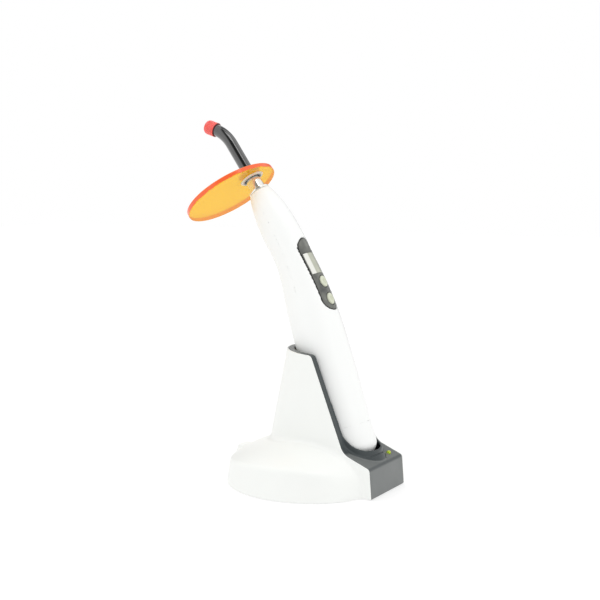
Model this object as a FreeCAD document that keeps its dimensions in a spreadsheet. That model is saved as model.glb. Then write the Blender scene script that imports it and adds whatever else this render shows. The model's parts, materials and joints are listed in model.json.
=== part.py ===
"""A cordless dental curing light standing in its charging base.

Row frame, in millimetres: the origin is on the table under the centre of the
base's tower, +Z is up, the buttons and the grey front of the base face -Y,
and X = 0 is the plane of symmetry.

Local frames used below:
  seat   origin at the flat lower end of the handpiece, +Z up along its handle
  panel  origin behind the middle of the control panel, +Z out of the panel
  neck   origin at the top of the handle, +Z along the straight light guide
  tip    origin where the two straight runs of the guide would cross, +Z out
"""
import FreeCAD, Part
import math
import os
import Sketcher

from FreeCAD import Placement, Rotation, Vector

DRIVING = (
    # charging base
    ("floor_gap", 0.4, "underside of the housing above the table"),
    ("foot_radius", 57.5, "round foot, at its lower edge"),
    ("foot_top_radius", 51.8, "round foot's side wall, carried up to foot_height"),
    ("foot_height", 44.0, "height of the cone that trims the dome"),
    ("foot_centre", 5.0, "foot's axis behind the origin"),
    ("dome_half_width", 66.5, "dome's half axis across"),
    ("dome_half_depth", 60.0, "dome's half axis from front to rear"),
    ("dome_half_height", 31.1, "dome's half axis upwards"),
    ("dome_centre", 10.2, "dome's centre behind the origin"),
    ("dome_rise", 1.8, "dome's centre above the table"),
    ("dome_tilt", 6.5, "degrees that the dome leans back"),
    ("tower_half_width", 24.35, "tower and front block, half width"),
    ("tower_centre", 16.4, "axis of the tower's round back, at the table"),
    ("tower_slant", 12.3, "degrees that the tower's back leans forwards"),
    ("front_foot", 51.4, "front face before the origin, at the table"),
    ("front_brow", 49.9, "front face before the origin, at its top edge"),
    ("brow_height", 19.5, "top edge of the front face"),
    ("throat_front", 31.0, "corner of instep and tower before the origin"),
    ("throat_height", 27.2, "height of that corner"),
    ("rim_front", 7.2, "front corner of the tower's rim before the origin"),
    ("rim_height", 88.6, "height of that corner"),
    ("rim_slope", 5.0, "degrees that the rim rises to the rear"),
    ("brow_round", 2.5, "rounding of the front face's top edge"),
    ("throat_round", 9.5, "rounding between instep and tower"),
    ("rim_round", 3.0, "rounding of the rim's front corner"),
    ("housing_wall", 2.3, "white housing's wall"),
    ("lip_wall", 1.0, "white lip beside the grey insert"),
    ("insert_skin", 2.8, "grey insert's wall"),
    ("fit_gap", 0.1, "gap between parts that fit together"),
    # cradle
    ("lean", 18.5, "degrees that the handle leans back"),
    ("seat_front", 26.8, "handpiece's lower end before the origin"),
    ("seat_height", 18.8, "handpiece's lower end above the table"),
    ("bore_radius", 18.4, "cradle's bore"),
    ("trough_radius", 20.6, "outside of the cradle's tube"),
    ("collar_radius", 19.5, "outside of the raised collar"),
    ("collar_front", 25.3, "height of the collar's rim 55 mm before the origin"),
    ("collar_knee", 30.2, "where the collar's rim meets the tower, forwards"),
    ("collar_knee_height", 29.7, "height of that point"),
    ("collar_round", 20.0, "rounding at that point"),
    ("ledge_drop", 3.4, "step of the collar below its rim"),
    # handle
    ("wall", 2.2, "handle's wall"),
    ("heel_round", 9.0, "rounding of the lower end"),
    ("cap_height", 22.0, "height of the end cap"),
    ("split_start", 105.0, "where the parting line starts to bend"),
    ("split_radius", 234.0, "bend of the parting line"),
    ("head_lean", 16.4, "degrees between handle and light guide"),
    # control panel
    ("panel_offset", 12.3, "panel frame before the handle's axis"),
    ("panel_height", 123.3, "panel frame above the seat"),
    ("panel_lean", 10.2, "degrees between panel and handle"),
    ("panel_half_width", 8.0, "panel, half width"),
    ("panel_half_length", 26.3, "panel, half length"),
    ("panel_recess", 0.5, "panel below the handle's surface"),
    ("window_half_width", 6.4, "display window, half width"),
    ("window_half_length", 7.5, "display window, half length"),
    ("window_place", 7.7, "middle of the window above the panel's middle"),
    ("key_half_width", 3.2, "button, half width"),
    ("key_half_length", 3.9, "button, half length"),
    ("upper_key_place", 6.2, "upper button below the panel's middle"),
    ("lower_key_place", 18.5, "lower button below the panel's middle"),
    ("key_stand", 0.9, "button above the panel"),
    ("key_gap", 0.08, "gap round a button"),
    ("board_thickness", 1.6, "circuit boards"),
    # head and light guide
    ("guide_radius", 4.15, "light guide"),
    ("sleeve_radius", 4.7, "guide's metal sleeve"),
    ("neck_bore", 4.75, "bore of the metal neck"),
    ("neck_radius", 5.25, "outside of the metal neck"),
    ("neck_height", 9.0, "top of the metal neck above the handle"),
    ("guide_corner", 48.0, "crossing of the guide's two straight runs"),
    ("bend_radius", 27.0, "bend of the guide's middle line"),
    ("bend_angle", 36.6, "degrees that the guide turns"),
    ("guide_end", 14.8, "guide's end beyond the crossing"),
    ("cap_start", 7.7, "tip cap's start beyond the crossing"),
    ("cap_end", 16.7, "tip cap's end beyond the crossing"),
    ("cap_radius", 5.0, "tip cap's outside"),
    ("shield_radius", 33.3, "eye shield"),
    ("shield_thickness", 3.2, "eye shield"),
    ("shield_place", 11.2, "underside of the eye shield above the handle"),
    ("shield_offset", 19.6, "middle of the eye shield from the guide's axis"),
    # battery and charging contacts
    ("cell_radius", 9.1, "battery cell"),
    ("cell_length", 49.0, "battery cell"),
    ("cell_place", 9.5, "lower end of the cell above the seat"),
    ("contact_spread", 4.5, "charging contacts from the plane of symmetry"),
    ("pin_radius", 0.9, "charging pin"),
    ("pin_flange", 1.25, "charging pin's flange"),
    ("barrel_bore", 1.3, "charging pin's barrel, inside"),
    ("barrel_radius", 1.9, "charging pin's barrel, outside"),
)

# The handle's cross-sections: name, height above the seat, offset to the rear,
# half depth, half width and the section's own lean in degrees.
RIBS = (
    ("heel", 0.0, 0.0, 17.3, 15.9, 0.0),
    ("cup", 22.0, 0.0, 17.8, 16.3, 0.0),
    ("palm", 45.0, 0.0, 18.0, 16.4, 0.0),
    ("grip", 78.0, 0.1, 17.8, 16.2, 0.0),
    ("swell", 95.0, 0.3, 17.4, 15.9, 0.5),
    ("slope", 108.0, 0.5, 16.4, 15.2, 1.5),
    ("bay", 120.0, 0.9, 15.0, 14.2, 3.5),
    ("waist", 132.0, 1.9, 13.6, 13.2, 7.0),
    ("hollow", 145.0, 4.1, 13.0, 12.6, 11.5),
    ("bulge", 158.0, 7.3, 13.0, 12.5, 14.0),
    ("nape", 169.0, 9.8, 12.0, 11.7, 14.8),
    ("scruff", 179.5, 12.4, 10.1, 9.9, 15.7),
    ("crown", 188.0, 14.65, 7.5, 7.4, 16.4),
)
RIB_WORDS = ("height", "offset", "depth", "width", "tilt")


class Size:
    """A number and the expression that ties it to the sheet."""

    def __init__(self, number, text=None):
        self.number = float(number)
        self.text = text if text else repr(self.number)

    def __add__(self, other):
        other = size(other)
        return Size(self.number + other.number, f"({self.text} + {other.text})")

    def __sub__(self, other):
        other = size(other)
        return Size(self.number - other.number, f"({self.text} - {other.text})")

    def __mul__(self, other):
        other = size(other)
        return Size(self.number * other.number, f"({self.text} * {other.text})")

    def __neg__(self):
        return Size(-self.number, f"(0 - {self.text})")


def size(value):
    return value if isinstance(value, Size) else Size(value)


def dim(alias):
    return Size(sheet.get(alias), "Dims." + alias)


def sine(angle):
    return Size(math.sin(math.radians(angle.number)), f"sin({angle.text} * 1 deg)")


def cosine(angle):
    return Size(math.cos(math.radians(angle.number)), f"cos({angle.text} * 1 deg)")


def tangent(angle):
    return Size(math.tan(math.radians(angle.number)), f"tan({angle.text} * 1 deg)")


# ---------------------------------------------------------------- document
doc = FreeCAD.newDocument("CuringLight")
sheet = doc.addObject("Spreadsheet::Sheet", "Dims")
cells = list(DRIVING)
for name, *values in RIBS:
    cells += [(f"{name}_{word}", value, f"handle section: {name} {word}")
              for word, value in zip(RIB_WORDS, values)]
for row, (alias, value, note) in enumerate(cells, start=1):
    sheet.set(f"A{row}", note)
    sheet.set(f"B{row}", str(value))
    sheet.setAlias(f"B{row}", alias)
doc.recompute()

NODES = []


def at(x=0.0, y=0.0, z=0.0, turn=0.0, axis=(1, 0, 0)):
    """A placement from an offset and a turn in degrees about an axis."""
    where = [value.number if isinstance(value, Size) else value for value in (x, y, z)]
    angle = turn.number if isinstance(turn, Size) else turn
    return Placement(Vector(*where), Rotation(Vector(*axis), angle))


WORLD = at()
SEAT = at(0, -dim("seat_front"), dim("seat_height"), -dim("lean"))
PANEL = SEAT * at(0, -dim("panel_offset"), dim("panel_height"), 90.0 - dim("panel_lean").number)
NECK = SEAT * at(0, dim("crown_offset"), dim("crown_height"), -dim("head_lean"))
TIP = NECK * at(0, 0, dim("guide_corner"), -dim("bend_angle"))


def keep(thing, label):
    """Marks an object as one of the pieces that are written out."""
    thing.Label = label
    NODES.append(thing)
    return thing


def bind(thing, **sizes):
    for name, value in sizes.items():
        value = size(value)
        setattr(thing, name, value.number)
        thing.setExpression(name, value.text)
    return thing


def new(kind, name, place=WORLD, **sizes):
    thing = doc.addObject(kind, name)
    bind(thing, **sizes)
    thing.Placement = place
    return thing


def cylinder(name, radius, low, high, frame=WORLD, x=0.0, y=0.0):
    low, high = size(low), size(high)
    return new("Part::Cylinder", name, frame * at(x, y, low), Radius=radius, Height=high - low)


def box(name, width, depth, low, high, frame=WORLD, x=0.0, y=0.0):
    """A block centred on x and y of its frame, from low to high."""
    width, depth, low, high = size(width), size(depth), size(low), size(high)
    corner = at(size(x) - width * 0.5, size(y) - depth * 0.5, low)
    return new("Part::Box", name, frame * corner, Length=width, Width=depth, Height=high - low)


def oval(name, half_width, half_depth, low, high, frame=WORLD, y=0.0):
    """A straight prism over an ellipse whose long axis is Y."""
    face = new("Part::Ellipse", name + "_edge", frame * at(0, y, low) * at(turn=90, axis=(0, 0, 1)),
               MajorRadius=half_depth, MinorRadius=half_width)
    prism = doc.addObject("Part::Extrusion", name)
    prism.Base = face
    prism.DirMode = "Custom"
    prism.Dir = frame.Rotation.multVec(Vector(0, 0, 1))
    prism.Solid = True
    bind(prism, LengthFwd=size(high) - size(low))
    return prism


def joined(name, *things):
    result = doc.addObject("Part::MultiFuse", name)
    result.Shapes = list(things)
    return result


def shared(name, *things):
    result = doc.addObject("Part::MultiCommon", name)
    result.Shapes = list(things)
    return result


def without(name, base, *tools):
    result = doc.addObject("Part::Cut", name)
    result.Base = base
    result.Tool = tools[0] if len(tools) == 1 else joined(name + "_tools", *tools)
    return result


def pill(name, half_width, half_length, low, high, frame):
    """A slab with round ends, long along Y."""
    half_width, half_length = size(half_width), size(half_length)
    reach = half_length - half_width
    return joined(name,
                  box(name + "_middle", half_width * 2, reach * 2, low, high, frame),
                  cylinder(name + "_top", half_width, low, high, frame, y=reach),
                  cylinder(name + "_foot", half_width, low, high, frame, y=-reach))


def origin_plane(body, role):
    return next(plane for plane in body.Origin.OriginFeatures if plane.Role == role)


def arc_between(start, end, radius, side):
    """The short arc from start to end whose centre lies to the left (side 1) or right (-1)."""
    chord = end - start
    half = chord.Length / 2
    left = Vector(-chord.y, chord.x, 0).normalize()
    centre = (start + end) * 0.5 + left * (side * math.sqrt(max(radius ** 2 - half ** 2, 0.0)))
    first, last = (start, end) if side > 0 else (end, start)
    angles = [math.atan2(point.y - centre.y, point.x - centre.x) for point in (first, last)]
    circle = Part.Circle(centre, Vector(0, 0, 1), radius)
    return Part.ArcOfCircle(circle, angles[0], angles[1])


def outline(sketch, points, bows=None, closed=True):
    """Draws edges through the points; bows maps an edge's number to (radius, side)."""
    bows = bows or {}
    points = [(size(x), size(y)) for x, y in points]
    spots = [Vector(x.number, y.number, 0) for x, y in points]
    count = len(points) if closed else len(points) - 1
    ends = []
    for index in range(count):
        start, end = spots[index], spots[(index + 1) % len(spots)]
        if index in bows:
            radius, side = size(bows[index][0]), bows[index][1]
            edge = sketch.addGeometry(arc_between(start, end, radius.number, side), False)
            ends.append((edge, 1, 2) if side > 0 else (edge, 2, 1))
        else:
            edge = sketch.addGeometry(Part.LineSegment(start, end), False)
            ends.append((edge, 1, 2))
    for index in range(count):
        edge, first, last = ends[index]
        if closed or index + 1 < count:
            follower = ends[(index + 1) % count]
            sketch.addConstraint(Sketcher.Constraint("Coincident", edge, last, follower[0], follower[1]))
        pin_point(sketch, edge, first, points[index])
    if not closed:
        pin_point(sketch, ends[-1][0], ends[-1][2], points[-1])
    for index, (radius, side) in bows.items():
        if isinstance(radius, Size) and side in (1, -1):
            start, end = spots[index], spots[(index + 1) % len(spots)]
            if radius.number > (end - start).Length / 2 + 1e-6:
                add_size(sketch, Sketcher.Constraint("Radius", ends[index][0], radius.number), radius)


def add_size(sketch, constraint, value):
    number = sketch.addConstraint(constraint)
    sketch.setExpression(f"Constraints[{number}]", value.text)


def pin_point(sketch, edge, end, point):
    """Ties one end of an edge to its coordinates."""
    for kind, axis, value in (("DistanceX", -2, point[0]), ("DistanceY", -1, point[1])):
        if abs(value.number) < 1e-9:
            sketch.addConstraint(Sketcher.Constraint("PointOnObject", edge, end, axis))
        else:
            constraint = Sketcher.Constraint(kind, -1, 1, edge, end, value.number)
            add_size(sketch, constraint, value)


def body_sketch(label, plane):
    body = doc.addObject("PartDesign::Body", label)
    sketch = body.newObject("Sketcher::SketchObject", label + "_sketch")
    sketch.AttachmentSupport = [(origin_plane(body, plane), "")]
    sketch.MapMode = "FlatFace"
    return body, sketch


def turned(label, points, frame=WORLD, bows=None):
    """A piece turned about Z: points are (radius, height) of its half section."""
    body, sketch = body_sketch(label, "XZ_Plane")
    outline(sketch, points, bows)
    turn = body.newObject("PartDesign::Revolution", label + "_turn")
    turn.Profile = sketch
    turn.ReferenceAxis = (sketch, ["V_Axis"])
    turn.Angle = 360
    body.Tip = turn
    body.Placement = frame
    return body


def padded(label, plane, points, length, frame=WORLD, bows=None, rounds=()):
    """A prism over an outline, centred on its plane; rounds are (point's number, radius)."""
    body, sketch = body_sketch(label, plane)
    outline(sketch, points, bows)
    pad = body.newObject("PartDesign::Pad", label + "_pad")
    pad.Profile = sketch
    pad.SideType = "Symmetric"
    bind(pad, Length=length)
    body.Tip = pad
    doc.recompute()
    for index, radius in rounds:
        spot = Vector(size(points[index][0]).number, size(points[index][1]).number, 0)
        feature = body.Tip
        names = [f"Edge{number}" for number, edge in enumerate(feature.Shape.Edges, start=1)
                 if is_corner(edge, spot, plane)]
        fillet = body.newObject("PartDesign::Fillet", f"{label}_round{index}")
        fillet.Base = (feature, names)
        bind(fillet, Radius=radius)
        body.Tip = fillet
        doc.recompute()
    body.Placement = frame
    return body


def is_corner(edge, spot, plane):
    """Whether a straight edge stands on a sketch's point, seen along the pad."""
    if len(edge.Vertexes) != 2:
        return False
    flat = {"YZ_Plane": lambda p: (p.y, p.z), "XY_Plane": lambda p: (p.x, p.y)}[plane]
    return all(math.hypot(flat(vertex.Point)[0] - spot.x, flat(vertex.Point)[1] - spot.y) < 1e-4
               for vertex in edge.Vertexes)


def coil(label, radius, wire, low, high, turns, frame):
    """A wire spring about Z."""
    path = Part.makeHelix((high - low) / turns, high - low, radius)
    section = Part.Wire(Part.makeCircle(wire, Vector(radius, 0, 0), Vector(0, 1, 0)))
    spring = doc.addObject("Part::Feature", label)
    spring.Shape = Part.Wire(path).makePipeShell([section], True, True)
    spring.Placement = frame * at(0, 0, low)
    return keep(spring, label)


# ---------------------------------------------------------------- base housing
RIM_REAR = 60.0
TOWER_TOP = 110.0


def rim_line(y, drop=0.0):
    """Height of the tower's rim at a place behind the origin."""
    return dim("rim_height") - drop + (size(y) + dim("rim_front")) * tangent(dim("rim_slope"))


def side_prism(label, half_width):
    """Everything behind the base's front face, instep and tower front."""
    points = [(-dim("front_foot"), dim("floor_gap")),
              (-dim("front_brow"), dim("brow_height")),
              (-dim("throat_front"), dim("throat_height")),
              (-dim("rim_front"), dim("rim_height")),
              (RIM_REAR, rim_line(RIM_REAR)),
              (RIM_REAR, dim("floor_gap"))]
    rounds = [(1, dim("brow_round")), (2, dim("throat_round")), (3, dim("rim_round"))]
    return padded(label, "YZ_Plane", points, half_width * 2, rounds=rounds)


def inner_prism(label, skin, half_width):
    """The same outline, one wall further in and open below and behind."""
    low = -5.0
    rear = RIM_REAR + 10.0
    points = [(skin - dim("front_foot"), low),
              (skin - dim("front_brow") - 0.1, dim("brow_height") - skin * 0.75),
              (skin * 0.78 - dim("throat_front"), dim("throat_height") - skin * 0.76),
              (skin * 0.6 - dim("rim_front"), rim_line(skin * 0.6 - dim("rim_front"), skin)),
              (rear, rim_line(rear, skin)),
              (rear, low)]
    rounds = [(2, dim("throat_round") + skin)]
    return padded(label, "YZ_Plane", points, half_width * 2, rounds=rounds)


def tower_prism(label, inset):
    """The tower's D-shaped plan, leaning forwards as it rises."""
    half = dim("tower_half_width") - inset
    front = 120.0
    sketch = doc.addObject("Sketcher::SketchObject", label + "_plan")
    outline(sketch,
            [(half, -front), (half, dim("tower_centre")), (-half, dim("tower_centre")), (-half, -front)],
            {1: (half, 1)})
    slant = dim("tower_slant").number
    prism = doc.addObject("Part::Extrusion", label)
    prism.Base = sketch
    prism.DirMode = "Custom"
    prism.Dir = Vector(0, -math.sin(math.radians(slant)), math.cos(math.radians(slant)))
    prism.Solid = True
    bind(prism, LengthFwd=TOWER_TOP)
    return prism


def dome(label, inset):
    """The low dome, trimmed by the foot's side wall."""
    cap = new("Part::Ellipsoid", label + "_cap",
              at(0, dim("dome_centre"), dim("dome_rise"), -dim("dome_tilt")),
              Radius1=dim("dome_half_height") - inset,
              Radius2=dim("dome_half_width") - inset,
              Radius3=dim("dome_half_depth") - inset)
    cone = new("Part::Cone", label + "_side", at(0, dim("foot_centre"), dim("floor_gap")),
               Radius1=dim("foot_radius") - inset,
               Radius2=dim("foot_top_radius") - inset,
               Height=dim("foot_height"))
    return shared(label, cap, cone)


side = side_prism("housing_side", dim("foot_radius"))
tower = shared("tower_blank", side, tower_prism("tower_plan", 0.0))
foot = shared("foot_blank", dome("foot_dome", 0.0), side)

# the rear boss round the power inlet
INLET_HEIGHT = 10.4
INLET_REAR = 62.3
BOSS_HALF, BOSS_TOP_HALF, BOSS_SHOULDER, BOSS_TOP = 8.4, 4.9, 13.2, 18.6
boss_outline = [(-BOSS_HALF, dim("floor_gap")), (BOSS_HALF, dim("floor_gap")),
                (BOSS_HALF, BOSS_SHOULDER), (BOSS_TOP_HALF, BOSS_TOP),
                (-BOSS_TOP_HALF, BOSS_TOP), (-BOSS_HALF, BOSS_SHOULDER)]
inlet_boss = padded("inlet_boss", "XZ_Plane", boss_outline, 24.0, at(0, INLET_REAR - 12.0, 0))
inlet_room = box("inlet_room", 12.4, 30.0, 0.0, INLET_HEIGHT + 5.3, y=INLET_REAR - 2.2 - 15.0)
INLET = at(0, INLET_REAR, INLET_HEIGHT, -90.0)
inlet_hole = cylinder("inlet_hole", 4.1, -6.0, 1.0, INLET)

wall = dim("housing_wall")
tower_room = shared("tower_room", tower_prism("tower_room_plan", wall),
                    inner_prism("tower_room_side", wall, dim("foot_radius")))
foot_room = shared("foot_room", dome("foot_room_dome", wall),
                   inner_prism("foot_room_side", wall, dim("foot_radius")))

insert_plan = tower_prism("insert_plan", dim("lip_wall") + dim("fit_gap"))
insert_blank = shared("insert_blank", side_prism("insert_side", dim("foot_radius")), insert_plan)
socket_blank = without("insert_socket",
                       shared("socket_plan", side_prism("socket_side", dim("foot_radius")),
                              tower_prism("socket_tower", dim("lip_wall"))),
                       inner_prism("socket_room", dim("insert_skin") + dim("fit_gap"),
                                   dim("foot_radius")))

# bosses that take the screws through the bottom cover
COVER_LOW = 1.2
COVER_TOP = 3.2
COVER_SCREWS = ((-39.0, 24.0), (39.0, 24.0), (-37.0, -16.0), (37.0, -16.0))
posts = joined("screw_posts", *[
    cylinder(f"screw_post{index}", 4.2, COVER_TOP + 0.05, 30.0, x=x, y=y)
    for index, (x, y) in enumerate(COVER_SCREWS)])
post_holes = joined("post_holes", *[
    cylinder(f"post_hole{index}", 1.3, COVER_TOP - 1.0, 15.0, x=x, y=y)
    for index, (x, y) in enumerate(COVER_SCREWS)])

housing = without("housing_hollow",
                  joined("housing_blank", tower, foot, inlet_boss),
                  tower_room, foot_room, inlet_room)
housing = joined("housing_with_posts", housing, shared("trimmed_posts", posts, foot))
keep(without("housing", housing, socket_blank, post_holes, inlet_hole), "base_housing")

# ---------------------------------------------------------------- cradle insert
skin = without("insert_skin_shell", insert_blank,
               inner_prism("insert_room", dim("insert_skin"), dim("foot_radius")))
SEAT_LOW = -3.3
SEAT_TOP = -0.3
trough = shared("trough", cylinder("trough_tube", dim("trough_radius"), SEAT_LOW, 100.0, SEAT),
                insert_blank)


def collar_ring(label, radius, drop):
    """A ring round the handpiece, cut off by the collar's sweeping rim."""
    front = 55.0
    points = [(-front, 12.0),
              (-front, dim("collar_front") - drop),
              (-dim("collar_knee"), dim("collar_knee_height") - drop),
              (-dim("rim_front"), dim("rim_height")),
              (30.0, dim("rim_height")),
              (30.0, 12.0)]
    region = padded(label + "_region", "YZ_Plane", points, 60.0,
                    rounds=[(2, dim("collar_round"))])
    ring = cylinder(label + "_ring", radius, -9.0, 40.0, SEAT)
    return shared(label, ring, region)


upper_collar = collar_ring("upper_collar", dim("collar_radius"), 0.0)
lower_collar = collar_ring("lower_collar", dim("trough_radius") - 0.1, dim("ledge_drop"))
collar_room = without("collar_below", joined("collars", upper_collar, lower_collar),
                      inner_prism("collar_trim", dim("insert_skin"), dim("foot_radius")))
bore = cylinder("cradle_bore", dim("bore_radius"), SEAT_TOP, 120.0, SEAT)
pin_holes = [cylinder(f"pin_hole{index}", 1.1, SEAT_LOW - 3.0, SEAT_TOP + 1.0, SEAT,
                      x=dim("contact_spread") * side_sign)
             for index, side_sign in enumerate((-1, 1))]
LAMP = at(14.8, -44.1, 21.75, 22.4)
lamp_hole = cylinder("lamp_hole", 1.55, -6.0, 4.0, LAMP)
key_slot = box("key_slot", 0.9, 2.4, -1.0, 3.0, at(5.5, -46.2, 20.95, 22.4))
insert_solid = joined("insert_solid", skin, trough, collar_room,
                      cylinder("seat_plate", dim("trough_radius"), SEAT_LOW, SEAT_TOP, SEAT))
keep(without("insert", insert_solid, bore, lamp_hole, key_slot, *pin_holes), "cradle_insert")

# ---------------------------------------------------------------- underside
COVER_FRONT = -47.6
cover_form = shared("cover_form", dome("cover_dome", wall + 0.4),
                    box("cover_slab", 120.0, 120.0, COVER_LOW, COVER_TOP, y=COVER_FRONT + 60.0))
BOARD_POSTS = ((-19.0, 0.0), (19.0, 0.0), (-19.0, 32.0), (19.0, 32.0))
BOARD_LOW = 12.6
standoffs = [cylinder(f"standoff{index}", 3.0, COVER_TOP - 0.5, BOARD_LOW, x=x, y=y)
             for index, (x, y) in enumerate(BOARD_POSTS)]
standoff_holes = [cylinder(f"standoff_hole{index}", 1.3, 5.0, BOARD_LOW + 1, x=x, y=y)
                  for index, (x, y) in enumerate(BOARD_POSTS)]
cover_holes = [cylinder(f"cover_hole{index}", 1.5, 0.0, 5.0, x=x, y=y)
               for index, (x, y) in enumerate(COVER_SCREWS)]
cover_sinks = [cylinder(f"cover_sink{index}", 2.9, 0.0, COVER_LOW + 1.0, x=x, y=y)
               for index, (x, y) in enumerate(COVER_SCREWS)]
keep(without("cover", joined("cover_blank", cover_form, *standoffs),
             *standoff_holes, *cover_holes, *cover_sinks), "bottom_cover")


def screw(label, head_radius, head_height, shank_radius, length, frame):
    """A pan-head screw standing head up on its frame's origin."""
    slot = 0.5
    return turned(label, [(0, -length), (shank_radius, -length), (shank_radius, 0), (head_radius, 0),
                          (head_radius, head_height), (slot, head_height),
                          (slot, head_height * 0.5), (0, head_height * 0.5)], frame)


keep(joined("cover_screw_group", *[
    screw(f"cover_screw{index}", 2.6, 0.9, 1.25, 11.0, at(x, y, COVER_LOW + 1.0, 180))
    for index, (x, y) in enumerate(COVER_SCREWS)]), "cover_screws")

FEET = ((0.0, 0.0), (-33.0, 36.0), (33.0, 36.0), (-30.0, -30.0), (30.0, -30.0))
keep(joined("foot_group", *[
    turned(f"rubber_foot{index}", [(0, 0), (5.6, 0), (6.0, 0.4), (6.0, COVER_LOW), (0, COVER_LOW)],
           at(x, y, 0)) for index, (x, y) in enumerate(FEET)]), "rubber_feet")
keep(box("ballast", 30.0, 34.0, COVER_TOP, COVER_TOP + 6.0, y=16.0), "ballast_plate")

# ---------------------------------------------------------------- charging electronics
board_top = size(BOARD_LOW) + dim("board_thickness")
board = box("charger_plate", 46.0, 40.0, BOARD_LOW, board_top, y=16.0)
board_parts = [box("transformer", 13.0, 11.0, board_top - 0.2, 21.0, x=-6.0, y=20.0),
               cylinder("capacitor", 3.2, board_top - 0.2, 21.5, x=10.0, y=24.0),
               box("charger_chip", 6.0, 6.0, board_top - 0.2, 16.4, x=9.0, y=9.0)]
board_holes = [cylinder(f"board_hole{index}", 1.5, BOARD_LOW - 1, 20.0, x=x, y=y)
               for index, (x, y) in enumerate(BOARD_POSTS)]
keep(without("charger", joined("charger_blank", board, *board_parts), *board_holes), "charger_board")
keep(joined("board_screw_group", *[
    screw(f"board_screw{index}", 2.4, 1.4, 1.25, 6.5, at(x, y, board_top))
    for index, (x, y) in enumerate(BOARD_POSTS)]), "board_screws")

keep(turned("power_inlet_barrel",
            [(0, -12.0), (4.0, -12.0), (4.0, -0.6), (2.8, -0.6), (2.8, -10.0),
             (1.0, -10.0), (1.0, -1.8), (0, -1.4)], INLET), "power_inlet")

carrier = box("carrier_block", 17.0, 9.0, -9.0, SEAT_LOW - 0.05, SEAT)
barrel_holes = [cylinder(f"carrier_hole{index}", dim("barrel_radius") + 0.05, -10.0, 0.0, SEAT,
                         x=dim("contact_spread") * sign) for index, sign in enumerate((-1, 1))]
keep(without("carrier", carrier, *barrel_holes), "contact_carrier")
keep(box("contact_plate", 22.0, 13.0, -12.2, -10.6, SEAT), "contact_board")

LIP_LOW = -4.4
BARREL_LOW = -10.55
SPRING_LOW = -9.9
STEM_LOW = -6.0
barrels = []
for index, (word, sign) in enumerate((("left", -1), ("right", 1))):
    post = SEAT * at(dim("contact_spread") * sign, 0, 0)
    barrels.append(turned(f"barrel{index}", [
        (0, BARREL_LOW), (dim("barrel_radius"), BARREL_LOW), (dim("barrel_radius"), SEAT_LOW - 0.1),
        (dim("pin_radius") + 0.05, SEAT_LOW - 0.1), (dim("pin_radius") + 0.05, LIP_LOW),
        (dim("barrel_bore"), LIP_LOW), (dim("barrel_bore"), SPRING_LOW), (0, SPRING_LOW)], post))
    keep(turned(f"pin_{word}", [
        (0, STEM_LOW), (dim("pin_flange"), STEM_LOW), (dim("pin_flange"), LIP_LOW - 0.05),
        (dim("pin_radius"), LIP_LOW - 0.05), (dim("pin_radius"), -0.5), (0.4, -0.05), (0, -0.05)],
        post), f"charge_pin_{word}")
    coil(f"pin_spring_{word}", 0.85, 0.14, SPRING_LOW + 0.18, STEM_LOW - 0.18, 6, post)
keep(joined("barrel_group", *barrels), "pin_barrels")

keep(turned("lamp", [(0, -4.6), (1.95, -4.6), (1.95, -3.4), (1.5, -3.4), (1.5, 0.15), (0, 1.65)],
            LAMP, {4: (1.5, 1)}), "status_lamp")

# ---------------------------------------------------------------- handle shells
def handle_loft(label, inset, low=0.0, reach=0.0):
    """The handle's outer form, drawn in by inset, from low to reach past the crown."""
    sections = []
    for name, *_ in RIBS:
        lift = size(low) if name == "heel" else size(0)
        place = SEAT * at(0, dim(f"{name}_offset"), dim(f"{name}_height") + lift,
                          -dim(f"{name}_tilt")) * at(turn=90, axis=(0, 0, 1))
        sections.append(new("Part::Ellipse", f"{label}_{name}", place,
                            MajorRadius=dim(f"{name}_depth") - inset,
                            MinorRadius=dim(f"{name}_width") - inset))
    if reach:
        place = NECK * at(0, 0, reach, 90, (0, 0, 1))
        sections.append(new("Part::Ellipse", f"{label}_reach", place,
                            MajorRadius=dim("crown_depth") - inset,
                            MinorRadius=dim("crown_width") - inset))
    loft = doc.addObject("Part::Loft", label + "_loft")
    loft.Sections = sections
    loft.Solid = True
    loft.Ruled = False
    return loft


def rounded_end(label, loft, radius):
    """Rounds the edge at the loft's lower end."""
    doc.recompute()
    seat_point = SEAT.Base
    up = SEAT.Rotation.multVec(Vector(0, 0, 1))
    numbers = [index for index, edge in enumerate(loft.Shape.Edges, start=1)
               if edge.Closed and abs((edge.CenterOfMass - seat_point).dot(up)) < 5.0]
    result = doc.addObject("Part::Fillet", label)
    result.Base = loft
    result.Edges = [(number, radius.number, radius.number) for number in numbers]
    return result


handle_blank = rounded_end("handle_blank", handle_loft("outer", size(0)), dim("heel_round"))
handle_room = rounded_end("handle_room", handle_loft("inner", dim("wall"), 2.4, 4.0),
                          dim("heel_round") - dim("wall"))
neck_hole = cylinder("neck_hole", 5.75, -15.0, 6.0, NECK)
shell = without("handle_shell", handle_blank, handle_room, neck_hole)

keep_out = 60.0
cap_zone = box("cap_zone", keep_out, keep_out, -1.0, dim("cap_height") - 0.1, SEAT)
split_points = [(0, -20.0), (0, dim("split_start")), (dim("crown_offset"), dim("crown_height")),
                (dim("crown_offset") + 12.0, dim("crown_height") + 32.0),
                (-keep_out, dim("crown_height") + 32.0), (-keep_out, -20.0)]
front_zone = padded("front_zone", "YZ_Plane", split_points, keep_out, SEAT,
                    {1: (dim("split_radius"), -1)})
above_cap = box("above_cap", keep_out, keep_out * 2, dim("cap_height"), 230.0, SEAT)

panel_hole = pill("panel_hole", dim("panel_half_width") + dim("fit_gap"),
                  dim("panel_half_length") + dim("fit_gap"), -6.0, 12.0, PANEL)

# two screws hold the shells together: their height above the seat, the height and
# turn of the parting line there
LOW_BOSS = SEAT * at(0, 0, 66.0, 90.0)
HIGH_BOSS = SEAT * at(0, 5.0, 153.3, 78.5)


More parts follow.
